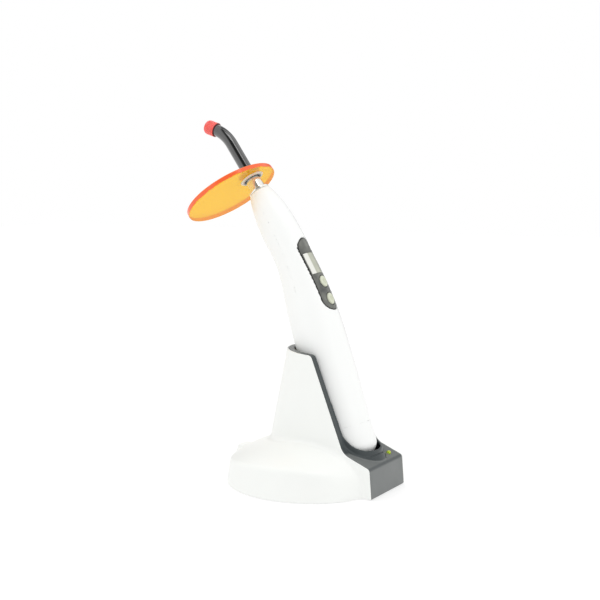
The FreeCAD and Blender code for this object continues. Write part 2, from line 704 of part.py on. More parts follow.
def boss_pair(label, frame, radius, head_depth):
    """Posts on both shells: the front one is threaded, the rear one holds the head."""
    inside = handle_loft(label + "_inside", size(0.8))
    front = shared(label + "_front", inside, cylinder(label + "_front_post", radius, 0.6, 20.0, frame))
    rear = shared(label + "_rear", inside, cylinder(label + "_rear_post", radius, -20.0, 0.5, frame))
    pilot = cylinder(label + "_pilot", 1.3, -1.0, 8.0, frame)
    clear = cylinder(label + "_clear", 1.4, -20.0, 3.0, frame)
    sink = cylinder(label + "_sink", 2.7, -30.0, head_depth, frame)
    return front, rear, pilot, clear, sink


low_posts = boss_pair("low_boss", LOW_BOSS, 4.0, -10.0)
high_posts = boss_pair("high_boss", HIGH_BOSS, 3.6, -5.5)

front_half = shared("front_half", shell, front_zone, above_cap)
keep(without("front_body", joined("front_body_blank", front_half, low_posts[0], high_posts[0]),
             panel_hole, low_posts[2], high_posts[2]), "front_shell")
rear_half = without("rear_half", shared("rear_half_tall", shell, above_cap), front_zone)
keep(without("rear_body", joined("rear_body_blank", rear_half, low_posts[1], high_posts[1]),
             low_posts[3], low_posts[4], high_posts[3], high_posts[4]), "rear_shell")
keep(joined("shell_screw_group",
            screw("shell_screw_low", 2.5, 1.8, 1.25, 16.0, LOW_BOSS * at(0, 0, -10.0, 180)),
            screw("shell_screw_high", 2.5, 1.8, 1.25, 11.0, HIGH_BOSS * at(0, 0, -5.5, 180))),
     "shell_screws")

# ---------------------------------------------------------------- end cap and battery
pad_holes = [cylinder(f"pad_hole{index}", 2.25, -1.0, 0.8, SEAT, x=dim("contact_spread") * sign)
             for index, sign in enumerate((-1, 1))]
spigot_room = handle_loft("spigot_inner", dim("wall") + 1.3)
spigot_form = handle_loft("spigot_outer", dim("wall") + dim("fit_gap"))
spigot_zone = box("spigot_zone", keep_out, keep_out, dim("cap_height") - 5.0,
                  dim("cap_height") + 4.0, SEAT)
spigot_ring = without("spigot_ring", shared("spigot", spigot_form, spigot_zone), spigot_room)
root_zone = box("root_zone", keep_out, keep_out, dim("cap_height") - 5.0,
                dim("cap_height") - 2.0, SEAT)
spigot_root = without("spigot_root", shared("spigot_base", handle_loft("root_outer", size(0.8)), root_zone),
                      spigot_room)
cap_shell = shared("cap_shell", shell, cap_zone)
keep(without("cap_body", joined("cap_blank", cap_shell, spigot_ring, spigot_root), *pad_holes),
     "end_cap")
keep(joined("pad_group", *[
    cylinder(f"pad{index}", 2.2, 0.0, 0.8, SEAT, x=dim("contact_spread") * sign)
    for index, sign in enumerate((-1, 1))]), "charge_pads")

cell_top = dim("cell_place") + dim("cell_length")
keep(turned("cell", [(0, dim("cell_place")), (dim("cell_radius") - 0.6, dim("cell_place")),
                     (dim("cell_radius"), dim("cell_place") + 0.6), (dim("cell_radius"), cell_top - 1.6),
                     (dim("cell_radius") - 0.6, cell_top - 1.0), (3.0, cell_top - 1.0),
                     (3.0, cell_top), (0, cell_top)], SEAT), "battery_cell")
coil("battery_spring", 5.2, 0.4, 2.9, 9.0, 4, SEAT)
holder_tube = without("holder_tube",
                      cylinder("holder_outside", 10.8, 6.5, cell_top + 2.6, SEAT),
                      cylinder("holder_inside", 9.25, 5.0, cell_top + 0.7, SEAT),
                      box("holder_mouth", 15.0, 14.0, 9.0, cell_top - 2.0, SEAT, y=-9.0))
keep(without("holder", holder_tube, cylinder("holder_eye", 3.2, cell_top, cell_top + 4.0, SEAT)),
     "battery_holder")
keep(turned("plus_cap", [(0, cell_top + 0.1), (2.2, cell_top + 0.1), (2.6, cell_top + 0.6),
                         (2.9, cell_top + 2.7), (6.0, cell_top + 2.7), (6.0, cell_top + 3.1),
                         (0, cell_top + 3.1)], SEAT), "plus_contact")

# ---------------------------------------------------------------- control panel
BEZEL_BACK = -3.0
panel_form = handle_loft("panel_form", dim("panel_recess"))
window_form = handle_loft("window_form", dim("panel_recess") + 0.05)
window_frame = PANEL * at(0, dim("window_place"), 0)
bezel_blank = shared("bezel_blank", panel_form,
                     pill("bezel_pill", dim("panel_half_width"), dim("panel_half_length"),
                          BEZEL_BACK, 8.0, PANEL))
window_hole = box("window_hole", dim("window_half_width") * 2 + 0.2,
                  dim("window_half_length") * 2 + 0.2, -6.0, 8.0, window_frame)
KEYS = (("upper", -dim("upper_key_place")), ("lower", -dim("lower_key_place")))
key_holes = [oval(f"{word}_key_hole", dim("key_half_width") + dim("key_gap"),
                  dim("key_half_length") + dim("key_gap"), -6.0, 8.0, PANEL, y=place)
             for word, place in KEYS]
keep(without("bezel", bezel_blank, window_hole, *key_holes), "panel_bezel")
keep(shared("window", window_form,
            box("window_block", dim("window_half_width") * 2, dim("window_half_length") * 2,
                BEZEL_BACK, 8.0, window_frame)), "display_window")

BOARD_FACE = -6.7
keep(box("display_block", 14.0, 17.5, BOARD_FACE + 0.05, BEZEL_BACK - 0.1, window_frame),
     "display_module")
keep(box("main_plate", 15.0, 60.0, BOARD_FACE - dim("board_thickness").number, BOARD_FACE, PANEL,
         y=-6.0), "main_board")

FLANGE_TOP = BEZEL_BACK - 0.1
FLANGE_LOW = FLANGE_TOP - 0.9
key_form = handle_loft("key_form", dim("panel_recess") - dim("key_stand"))
switches = []
for word, place in KEYS:
    stem = shared(f"{word}_key_stem", key_form,
                  oval(f"{word}_key_post", dim("key_half_width"), dim("key_half_length"),
                       FLANGE_TOP - 0.2, 8.0, PANEL, y=place))
    flange = oval(f"{word}_key_flange", dim("key_half_width") + 0.9, dim("key_half_length") + 0.9,
                  FLANGE_LOW, FLANGE_TOP, PANEL, y=place)
    keep(joined(f"{word}_key_body", stem, flange), f"{word}_button")
    switches.append(joined(f"{word}_switch",
                           box(f"{word}_switch_base", 6.0, 6.0, BOARD_FACE, BOARD_FACE + 1.4,
                               PANEL, y=place),
                           cylinder(f"{word}_switch_tip", 1.5, BOARD_FACE + 1.2, BOARD_FACE + 2.0,
                                    PANEL, y=place)))
keep(joined("switch_group", *switches), "tact_switches")
keep(turned("beeper_case", [(0, -3.2), (4.4, -3.2), (4.4, 0), (0, 0)],
            PANEL * at(0, -22.0, BOARD_FACE - dim("board_thickness").number)), "beeper")

# ---------------------------------------------------------------- light engine and neck
SINK_HALF, SINK_CORE, SINK_LOW, SINK_TOP = 6.5, 4.2, -30.0, -14.0
FIN_COUNT, FIN_START, FIN_PITCH, FIN_GAP = 5, -27.0, 2.6, 1.3
fins = [(SINK_HALF, SINK_LOW)]
for index in range(FIN_COUNT):
    low = FIN_START + index * FIN_PITCH
    fins += [(SINK_HALF, low), (SINK_CORE, low), (SINK_CORE, low + FIN_GAP), (SINK_HALF, low + FIN_GAP)]
keep(turned("sink", [(0, SINK_LOW)] + fins + [(SINK_HALF, SINK_TOP), (0, SINK_TOP)], NECK),
     "heat_sink")
LED_FACE = -12.7
keep(cylinder("led_plate", 5.0, SINK_TOP + 0.05, LED_FACE, NECK), "led_board")
CHIP_HALF, CHIP_LOW, CHIP_TOP, DOME_HALF = 1.9, LED_FACE + 0.05, -11.9, 1.5
keep(turned("led_chip", [(0, CHIP_LOW), (CHIP_HALF, CHIP_LOW), (CHIP_HALF, CHIP_TOP),
                         (DOME_HALF, CHIP_TOP), (0, CHIP_TOP + DOME_HALF)],
            NECK, {3: (DOME_HALF, 1)}), "led_emitter")
LENS_HALF, LENS_LOW, LENS_EDGE, LENS_TOP = 4.1, -8.0, -6.6, -5.0
lens_curve = (LENS_HALF ** 2 + (LENS_TOP - LENS_EDGE) ** 2) / (2 * (LENS_TOP - LENS_EDGE))
keep(turned("lens", [(0, LENS_LOW), (LENS_HALF, LENS_LOW), (LENS_HALF, LENS_EDGE), (0, LENS_TOP)],
            NECK, {2: (lens_curve, 1)}), "focus_lens")
STEM_HALF, STEM_END, LENS_BORE = 5.65, -12.6, 4.3
SEAT_BORE, SEAT_STEP, LENS_STOP = 4.15, -4.0, -6.4
FLANGE_HALF, FLANGE_LIFT, FLANGE_HEIGHT, EDGE = 7.3, 0.1, 1.8, 0.3
keep(turned("neck_tube", [
    (LENS_BORE, STEM_END), (STEM_HALF, STEM_END), (STEM_HALF, FLANGE_LIFT),
    (FLANGE_HALF - EDGE, FLANGE_LIFT), (FLANGE_HALF, FLANGE_LIFT + EDGE),
    (FLANGE_HALF, FLANGE_HEIGHT - EDGE), (FLANGE_HALF - EDGE, FLANGE_HEIGHT),
    (dim("neck_radius"), FLANGE_HEIGHT), (dim("neck_radius"), dim("neck_height") - EDGE),
    (dim("neck_radius") - 0.2, dim("neck_height")), (dim("neck_bore"), dim("neck_height")),
    (dim("neck_bore"), SEAT_STEP), (SEAT_BORE, SEAT_STEP), (SEAT_BORE, LENS_STOP),
    (LENS_BORE, LENS_STOP)], NECK), "metal_neck")

RING_LOW, RING_TOP, GROOVE_HALF = 3.0, 4.2, 4.4
SLEEVE_LOW, SLEEVE_TOP, SLEEVE_FIT = -3.6, 16.6, 0.02
sleeve_bore = dim("guide_radius") + SLEEVE_FIT
keep(turned("sleeve", [(sleeve_bore, SLEEVE_LOW), (dim("sleeve_radius"), SLEEVE_LOW),
                       (dim("sleeve_radius"), RING_LOW), (GROOVE_HALF, RING_LOW),
                       (GROOVE_HALF, RING_TOP), (dim("sleeve_radius"), RING_TOP),
                       (dim("sleeve_radius"), SLEEVE_TOP), (sleeve_bore, SLEEVE_TOP)],
            NECK), "guide_sleeve")
RING_HALF, RING_PLAY = 4.72, 0.05
keep(turned("ring", [(GROOVE_HALF + RING_PLAY, RING_LOW + RING_PLAY),
                     (RING_HALF, RING_LOW + RING_PLAY), (RING_HALF, RING_TOP - RING_PLAY),
                     (GROOVE_HALF + RING_PLAY, RING_TOP - RING_PLAY)], NECK), "sealing_ring")

GUIDE_START = -3.5
CAP_ROUND = 2.6
CAP_WALL = 1.6
reach = dim("bend_radius") * tangent(dim("bend_angle") * 0.5)
path = doc.addObject("Sketcher::SketchObject", "guide_path")
outline(path, [(0, GUIDE_START), (0, dim("guide_corner") - reach),
               (reach * sine(dim("bend_angle")), dim("guide_corner") + reach * cosine(dim("bend_angle"))),
               (dim("guide_end") * sine(dim("bend_angle")),
                dim("guide_corner") + dim("guide_end") * cosine(dim("bend_angle")))],
        {1: (dim("bend_radius"), -1)}, closed=False)
upright = Placement(Vector(0, 0, 0), Rotation(Vector(1, 1, 1), 120))
path.Placement = NECK * upright
rod_end = new("Part::Circle", "guide_section", NECK * at(0, 0, GUIDE_START), Radius=dim("guide_radius"))
rod = doc.addObject("Part::Sweep", "guide_rod")
rod.Sections = [rod_end]
rod.Spine = (path, ["Edge1", "Edge2", "Edge3"])
rod.Solid = True
rod.Frenet = False
keep(rod, "light_guide")
keep(turned("cap_shape", [(dim("guide_radius") + 0.05, dim("cap_start")),
                          (dim("cap_radius") - 0.4, dim("cap_start")),
                          (dim("cap_radius"), dim("cap_start") + 0.4),
                          (dim("cap_radius"), dim("cap_end") - CAP_ROUND),
                          (dim("cap_radius") - CAP_ROUND, dim("cap_end")),
                          (0, dim("cap_end")), (0, dim("cap_end") - CAP_WALL),
                          (dim("guide_radius") + 0.05, dim("cap_end") - CAP_WALL)],
            TIP, {3: (CAP_ROUND, 1)}), "tip_cap")

# ---------------------------------------------------------------- eye shield
shield_top = dim("shield_place") + dim("shield_thickness")
shield_frame = NECK * at(0, dim("shield_offset"), 0)
shield_plate = turned("shield_disc", [
    (0, dim("shield_place")), (dim("shield_radius") - 0.5, dim("shield_place")),
    (dim("shield_radius"), dim("shield_place") + 0.5), (dim("shield_radius"), shield_top - 0.5),
    (dim("shield_radius") - 0.5, shield_top), (0, shield_top)], shield_frame)
keep(without("shield", shield_plate, cylinder("shield_hole", 6.8, 8.0, 18.0, NECK)), "eye_shield")
BUSH_BORE, BUSH_MOUTH, BUSH_WAIST, BUSH_HALF, BUSH_LOW, BUSH_TOP_HALF = 4.75, 5.5, 6.75, 8.4, 10.2, 7.9
bush_step = dim("shield_place") + 0.7
bush_seat = dim("shield_place") - 0.02
keep(turned("bush", [
    (BUSH_MOUTH, BUSH_LOW), (BUSH_HALF - 0.8, BUSH_LOW), (BUSH_HALF, BUSH_LOW + 0.7),
    (BUSH_HALF, bush_seat), (BUSH_WAIST, bush_seat), (BUSH_WAIST, shield_top + 0.02),
    (BUSH_TOP_HALF, shield_top + 0.02), (BUSH_TOP_HALF, shield_top + 0.8),
    (BUSH_TOP_HALF - 0.7, shield_top + 1.5), (BUSH_BORE, shield_top + 1.5),
    (BUSH_BORE, bush_step), (BUSH_MOUTH, bush_step)], NECK), "shield_bush")

# ---------------------------------------------------------------- checks and export
doc.recompute()
for thing in doc.Objects:
    if "Invalid" in thing.State or "Error" in thing.State:
        raise RuntimeError(f"{thing.Label} failed: {thing.State}")
os.makedirs("parts", exist_ok=True)
for node in NODES:
    shape = node.Shape
    if shape.isNull() or not shape.isValid() or not shape.Solids:
        raise RuntimeError(f"{node.Label} has no valid shape")
for node in NODES:
    node.Shape.exportStep(f"parts/{node.Label}.step")
    limits = node.Shape.BoundBox
    print(f"{node.Label:18s} {len(node.Shape.Solids):2d} solid(s) {node.Shape.Volume:10.1f} mm3 "
          f"X {limits.XMin:7.2f} {limits.XMax:7.2f} Y {limits.YMin:7.2f} {limits.YMax:7.2f} "
          f"Z {limits.ZMin:7.2f} {limits.ZMax:7.2f}")
print(len(NODES), "nodes")
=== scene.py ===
"""Looks of a cordless dental curing light standing in its charging base.

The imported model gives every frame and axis. The moulded parts are drawn as
distance fields in millimetres and meshed here, so that their edges are round
and their blends soft; the turned parts are lathed; the other parts keep their
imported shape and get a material.
"""

import json
import math

import bpy
import numpy as np
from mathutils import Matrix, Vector


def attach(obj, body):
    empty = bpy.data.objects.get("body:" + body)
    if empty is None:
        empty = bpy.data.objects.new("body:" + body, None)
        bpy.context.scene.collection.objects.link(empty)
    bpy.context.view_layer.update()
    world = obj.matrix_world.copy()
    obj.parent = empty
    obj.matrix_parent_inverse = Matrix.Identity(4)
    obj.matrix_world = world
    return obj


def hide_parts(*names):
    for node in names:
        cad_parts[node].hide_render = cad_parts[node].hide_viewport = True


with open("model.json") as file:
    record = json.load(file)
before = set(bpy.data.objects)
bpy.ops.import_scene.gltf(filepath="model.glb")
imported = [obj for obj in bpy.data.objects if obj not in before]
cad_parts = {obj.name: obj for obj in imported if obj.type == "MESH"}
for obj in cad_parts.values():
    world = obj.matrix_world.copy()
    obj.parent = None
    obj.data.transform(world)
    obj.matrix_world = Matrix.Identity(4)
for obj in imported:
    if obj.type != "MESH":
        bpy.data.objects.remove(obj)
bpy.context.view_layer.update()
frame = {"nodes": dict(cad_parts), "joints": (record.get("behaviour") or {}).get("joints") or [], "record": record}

MM = 0.001
TINY = 1e-9


# ---------------------------------------------------------------- frames
class Axes:
    """A frame in millimetres whose X is the model's X: an origin and the direction of its Z."""

    def __init__(self, origin, up):
        self.origin = np.array(origin, float)
        self.x = np.array((1.0, 0.0, 0.0))
        self.z = np.array(up, float) / np.linalg.norm(up)
        self.y = np.cross(self.z, self.x)

    def local(self, x, y, z):
        """The model's coordinates, as this frame's."""
        y, z = y - self.origin[1], z - self.origin[2]
        return x - self.origin[0], y * self.y[1] + z * self.y[2], y * self.z[1] + z * self.z[2]

    def world(self, x, y, z):
        """This frame's coordinates, as the model's."""
        return (x + self.origin[0],
                y * self.y[1] + z * self.z[1] + self.origin[1],
                y * self.y[2] + z * self.z[2] + self.origin[2])

    def moved(self, x=0.0, y=0.0, z=0.0, lean=0.0):
        """A frame at a place in this one, leaning back by some degrees."""
        turn = math.radians(lean)
        return Axes(self.world(x, y, z), self.y * math.sin(turn) + self.z * math.cos(turn))


joints = {joint["name"]: joint for joint in frame["joints"]}
CROWN_HEIGHT, CROWN_OFFSET = 188.0, 14.65
NECK = Axes(np.array(joints["guide_turn"]["pos_m"]) / MM, joints["guide_turn"]["axis"])
SEAT = Axes((0, 0, 0), joints["handpiece_lift"]["axis"])
SEAT = Axes(NECK.origin - SEAT.y * CROWN_OFFSET - SEAT.z * CROWN_HEIGHT, SEAT.z)
PANEL = Axes(SEAT.world(0, -12.3, 123.3), -np.array(joints["upper_key_press"]["axis"]))
CORNER = 48.0
TIP = Axes(NECK.world(0, 0, CORNER), joints["cap_pull"]["axis"])
WORLD = Axes((0, 0, 0), (0, 0, 1))


# ---------------------------------------------------------------- camera, light and floor
def add_camera():
    """The camera stands to the front left, a little above the middle of the handpiece."""
    data = bpy.data.cameras.new("camera")
    data.sensor_width = 36.0
    data.lens = 67.3
    data.clip_start = 0.01
    camera = bpy.data.objects.new("camera", data)
    bpy.context.scene.collection.objects.link(camera)
    azimuth, down = math.radians(-59.0), math.radians(6.3)
    camera.location = (-0.636, -0.367, 0.203)
    back = Vector((math.sin(azimuth) * math.cos(down), -math.cos(azimuth) * math.cos(down),
                   math.sin(down)))
    camera.rotation_mode = "QUATERNION"
    camera.rotation_quaternion = (-back).to_track_quat("-Z", "Y")
    bpy.context.scene.camera = camera


def bearing(nodes, links, flat, degrees):
    """How nearly a level direction points along a bearing: the cosine between them."""
    along = nodes.new("ShaderNodeVectorMath")
    along.operation = "DOT_PRODUCT"
    turn = math.radians(degrees)
    along.inputs[1].default_value = (math.sin(turn), -math.cos(turn), 0.0)
    links.new(flat, along.inputs[0])
    return along.outputs["Value"]


def shades(nodes, links, value, stops):
    """Grey levels along a value, from (degrees off the bearing, level) pairs."""
    ramp = nodes.new("ShaderNodeValToRGB")
    ramp.color_ramp.interpolation = "EASE"
    points = sorted((math.cos(math.radians(angle)), level) for angle, level in stops)
    for _ in points[2:]:
        ramp.color_ramp.elements.new(0.5)
    for element, (position, level) in zip(ramp.color_ramp.elements, points):
        element.position = position
        element.color = (level, level, level, 1)
    links.new(value, ramp.inputs["Fac"])
    return ramp.outputs["Color"]


def blend(nodes, links, share, first, second, kind="MIX"):
    mix = nodes.new("ShaderNodeMix")
    mix.data_type = "RGBA"
    mix.blend_type = kind
    for source, socket in ((share, "Factor"), (first, "A"), (second, "B")):
        if isinstance(source, bpy.types.NodeSocket):
            links.new(source, mix.inputs[socket])
        else:
            mix.inputs[socket].default_value = source
    return mix.outputs["Result"]


def add_world():
    """Light from a white tent, a little stronger from above.

    Gloss shows three dark upright strips: one beside the camera and two behind the object.
    """
    world = bpy.data.worlds.new("studio")
    bpy.context.scene.world = world
    world.use_nodes = True
    nodes, links = world.node_tree.nodes, world.node_tree.links
    nodes.clear()
    place = nodes.new("ShaderNodeTexCoord").outputs["Generated"]
    level = nodes.new("ShaderNodeVectorMath")
    level.operation = "MULTIPLY"
    level.inputs[1].default_value = (1.0, 1.0, 0.0)
    flat = nodes.new("ShaderNodeVectorMath")
    flat.operation = "NORMALIZE"
    links.new(place, level.inputs[0])
    links.new(level.outputs["Vector"], flat.inputs[0])
    flat = flat.outputs["Vector"]
    beside = shades(nodes, links, bearing(nodes, links, flat, -68.0), [(36, 1.0), (14, 0.04)])
    behind = shades(nodes, links, bearing(nodes, links, flat, 121.0),
                    [(44, 1.0), (30, 0.3), (18, 0.3), (9, 1.0)])
    height = nodes.new("ShaderNodeSeparateXYZ")
    links.new(place, height.inputs[0])
    tent = blend(nodes, links, height.outputs["Z"], (0.76, 0.775, 0.765, 1), (1.22, 1.22, 1.22, 1))
    path = nodes.new("ShaderNodeLightPath")
    seen = blend(nodes, links, path.outputs["Is Camera Ray"], tent, (1, 1, 1, 1))
    gloss = blend(nodes, links, 1.0, beside, behind, "MULTIPLY")
    shade = nodes.new("ShaderNodeBackground")
    out = nodes.new("ShaderNodeOutputWorld")
    links.new(blend(nodes, links, path.outputs["Is Glossy Ray"], seen, gloss),
              shade.inputs["Color"])
    links.new(shade.outputs[0], out.inputs["Surface"])


def add_lamp(name, place, size, power):
    """A soft box that faces the middle of the object."""
    data = bpy.data.lights.new(name, "AREA")
    data.shape = "RECTANGLE"
    data.size, data.size_y = size
    data.energy = power
    lamp = bpy.data.objects.new(name, data)
    bpy.context.scene.collection.objects.link(lamp)
    lamp.location = place
    lamp.rotation_mode = "QUATERNION"
    target = Vector((0.0, 0.01, 0.11))
    lamp.rotation_quaternion = (target - Vector(place)).to_track_quat("-Z", "Y")


def add_floor():
    """A pale sheet that the base stands on."""
    half = 3.0
    mesh = bpy.data.meshes.new("floor")
    mesh.from_pydata([(-half, -half, 0), (half, -half, 0), (half, half, 0), (-half, half, 0)], [],
                     [(0, 1, 2, 3)])
    floor = bpy.data.objects.new("floor", mesh)
    bpy.context.scene.collection.objects.link(floor)
    floor.location.z = -0.00005
    paint = Paint("pale_floor")
    paint.shader((0.45, 0.45, 0.45), 0.7)
    paint.body.inputs["Emission Color"].default_value = (1, 1, 1, 1)
    paint.body.inputs["Emission Strength"].default_value = 0.57
    mesh.materials.append(paint.material)


# ---------------------------------------------------------------- materials
class Paint:
    """A procedural material made round one Principled shader."""

    def __init__(self, name):
        self.material = bpy.data.materials.new(name)
        self.material.use_nodes = True
        tree = self.material.node_tree
        self.nodes, self.links = tree.nodes, tree.links
        self.nodes.clear()
        self.body = self.nodes.new("ShaderNodeBsdfPrincipled")
        self.out = self.nodes.new("ShaderNodeOutputMaterial")
        self.links.new(self.body.outputs[0], self.out.inputs["Surface"])
        self.place = self.nodes.new("ShaderNodeTexCoord").outputs["Object"]

    def shader(self, color, rough, metal=0.0, **more):
        self.body.inputs["Base Color"].default_value = (*color, 1.0)
        self.body.inputs["Roughness"].default_value = rough
        self.body.inputs["Metallic"].default_value = metal
        for socket, value in more.items():
            self.body.inputs[socket.replace("_", " ")].default_value = value
        return self

    def noise(self, scale, detail=3.0):
        """Soft noise from 0 to 1, at a scale in cycles a metre."""
        texture = self.nodes.new("ShaderNodeTexNoise")
        texture.inputs["Scale"].default_value = scale
        texture.inputs["Detail"].default_value = detail
        self.links.new(self.place, texture.inputs["Vector"])
        return texture.outputs["Fac"]

    def spread(self, value, low, high):
        """Maps a value's middle range to low and high."""
        ranged = self.nodes.new("ShaderNodeMapRange")
        ranged.inputs["From Min"].default_value = 0.3
        ranged.inputs["From Max"].default_value = 0.7
        ranged.inputs["To Min"].default_value = low
        ranged.inputs["To Max"].default_value = high
        self.links.new(value, ranged.inputs["Value"])
        return ranged.outputs["Result"]

    def vary_color(self, dark, light, scale):
        mix = self.nodes.new("ShaderNodeMix")
        mix.data_type = "RGBA"
        mix.inputs["A"].default_value = (*dark, 1)
        mix.inputs["B"].default_value = (*light, 1)
        self.links.new(self.spread(self.noise(scale), 0.0, 1.0), mix.inputs["Factor"])
        self.links.new(mix.outputs["Result"], self.body.inputs["Base Color"])
        return self

    def mark(self, attribute, color):
        """Paints where a piece's own attribute is 1."""
        share = self.nodes.new("ShaderNodeAttribute")
        share.attribute_name = attribute
        mix = self.nodes.new("ShaderNodeMix")
        mix.data_type = "RGBA"
        mix.inputs["B"].default_value = (*color, 1)
        self.links.new(self.body.inputs["Base Color"].links[0].from_socket, mix.inputs["A"])
        self.links.new(share.outputs["Fac"], mix.inputs["Factor"])
        self.links.new(mix.outputs["Result"], self.body.inputs["Base Color"])
        return self

    def vary_rough(self, low, high, scale):
        self.links.new(self.spread(self.noise(scale), low, high), self.body.inputs["Roughness"])
        return self

    def bump(self, height_mm, scale, detail=3.0):
        """Relief of that height."""
        relief = self.nodes.new("ShaderNodeBump")
        relief.inputs["Strength"].default_value = 1.0
        relief.inputs["Distance"].default_value = height_mm * MM
        self.links.new(self.noise(scale, detail), relief.inputs["Height"])
        self.links.new(relief.outputs["Normal"], self.body.inputs["Normal"])
        return self


def scaled(color, share):
    return tuple(part * share for part in color)


def plastic(name, color, rough, grain_mm=0.004, grain=2500.0, drift=0.03, **more):
    """Moulded plastic: its colour and gloss wander a little, over a fine grain."""
    paint = Paint(name).shader(color, rough, **more)
    paint.vary_color(scaled(color, 1.0 - drift), scaled(color, 1.0 + drift / 2), 60.0)
    paint.vary_rough(rough * (1.0 - 4 * drift), rough * (1.0 + 4 * drift), 90.0)
    return paint.bump(grain_mm, grain).material


def metal(name, color, rough, grain_mm=0.002, grain=3000.0, share=1.0):
    paint = Paint(name).shader(color, rough, metal=share)
    paint.vary_color(scaled(color, 0.93), color, 400.0)
    paint.vary_rough(rough * 0.7, rough * 1.3, 700.0)
    return paint.bump(grain_mm, grain).material


def insert_paint():
    """Grained grey, with painted shade in the cradle, on its collar, up the tower and along the brow's edge."""
    paint = Paint("grey_insert").shader((0.20, 0.21, 0.21), 0.42)
    paint.vary_color((0.140, 0.150, 0.148), (0.155, 0.164, 0.162), 60.0)
    # painted shade: a near-black grey in the cradle, up the tower and along the brow
    paint.mark("deep", (0.035, 0.045, 0.048))
    paint.vary_rough(0.34, 0.44, 90.0)
    return paint.bump(0.012, 3500.0).material


def board_green():
    """Solder mask over faint copper tracks."""
    paint = Paint("circuit_board").shader((0.02, 0.16, 0.06), 0.35)
    paint.vary_color((0.01, 0.12, 0.045), (0.03, 0.22, 0.09), 500.0)
    return paint.bump(0.02, 900.0).material


def acrylic():
    """Clear amber sheet: light passes its faces and glows orange at its rim."""
    paint = Paint("orange_acrylic")
    nodes, links = paint.nodes, paint.links
    paint.shader((1.0, 0.62, 0.045), 0.07, IOR=1.49)
    paint.vary_rough(0.05, 0.1, 120.0)
    clear = nodes.new("ShaderNodeBsdfTransparent")
    clear.inputs["Color"].default_value = (0.98, 0.80, 0.17, 1)
    faces = nodes.new("ShaderNodeMixShader")
    faces.inputs["Fac"].default_value = 0.42
    links.new(clear.outputs[0], faces.inputs[1])
    links.new(paint.body.outputs[0], faces.inputs[2])
    glow = nodes.new("ShaderNodeBsdfPrincipled")
    glow.inputs["Base Color"].default_value = (0.86, 0.13, 0.035, 1)
    glow.inputs["Roughness"].default_value = 0.12
    glow.inputs["Emission Color"].default_value = (1.0, 0.12, 0.03, 1)
    glow.inputs["Emission Strength"].default_value = 0.05
    rim = nodes.new("ShaderNodeAttribute")
    rim.attribute_name = "rim"
    edge = nodes.new("ShaderNodeMapRange")
    edge.inputs["From Min"].default_value = 0.45
    edge.inputs["From Max"].default_value = 0.75
    both = nodes.new("ShaderNodeMixShader")
    links.new(rim.outputs["Fac"], edge.inputs["Value"])
    links.new(edge.outputs["Result"], both.inputs["Fac"])
    links.new(faces.outputs[0], both.inputs[1])
    links.new(glow.outputs[0], both.inputs[2])
    links.new(both.outputs[0], paint.out.inputs["Surface"])
    return paint.material


def silicone(name, color, rough, glow):
    """Soft, slightly see-through rubber that glows a little in bright light."""
    paint = Paint(name).shader(color, rough, Subsurface_Weight=0.5, Subsurface_Scale=0.003)
    paint.vary_color(scaled(color, 0.94), scaled(color, 1.04), 300.0)
    paint.body.inputs["Emission Color"].default_value = (*color, 1)
    paint.body.inputs["Emission Strength"].default_value = glow
    paint.bump(0.01, 1500.0)
    return paint


def panel_paint():
    """Satin grey whose tone drifts in broad patches, painted to stand for reflections, with painted shade in the
    gaps round its edge and its buttons.
    """
    paint = Paint("panel_grey").shader((0.12, 0.125, 0.115), 0.22)
    # lighter and darker patches: painted reflections on the satin face
    paint.vary_color((0.05, 0.052, 0.052), (0.18, 0.185, 0.165), 130.0)
    # painted shade, near black, round the plate's edge and its button holes
    paint.mark("gap", (0.012, 0.013, 0.010))
    paint.vary_rough(0.14, 0.30, 90.0)
    return paint.bump(0.006, 1800.0).material


def window_paint():
    """A glossy pane with an off-white half and a khaki half."""
    paint = Paint("window_glass").shader((0.45, 0.46, 0.37), 0.05, Coat_Weight=0.6)
    paint.vary_color((0.40, 0.41, 0.33), (0.46, 0.47, 0.38), 300.0)
    paint.mark("pale", (0.80, 0.80, 0.75))
    paint.vary_rough(0.04, 0.07, 90.0)
    return paint.bump(0.0006, 900.0).material


def clear_glass():
    """A small polished lens."""
    paint = Paint("lens_glass").shader((0.94, 0.97, 1.0), 0.03, Transmission_Weight=1.0, IOR=1.5)
    return paint.bump(0.0005, 2500.0).material


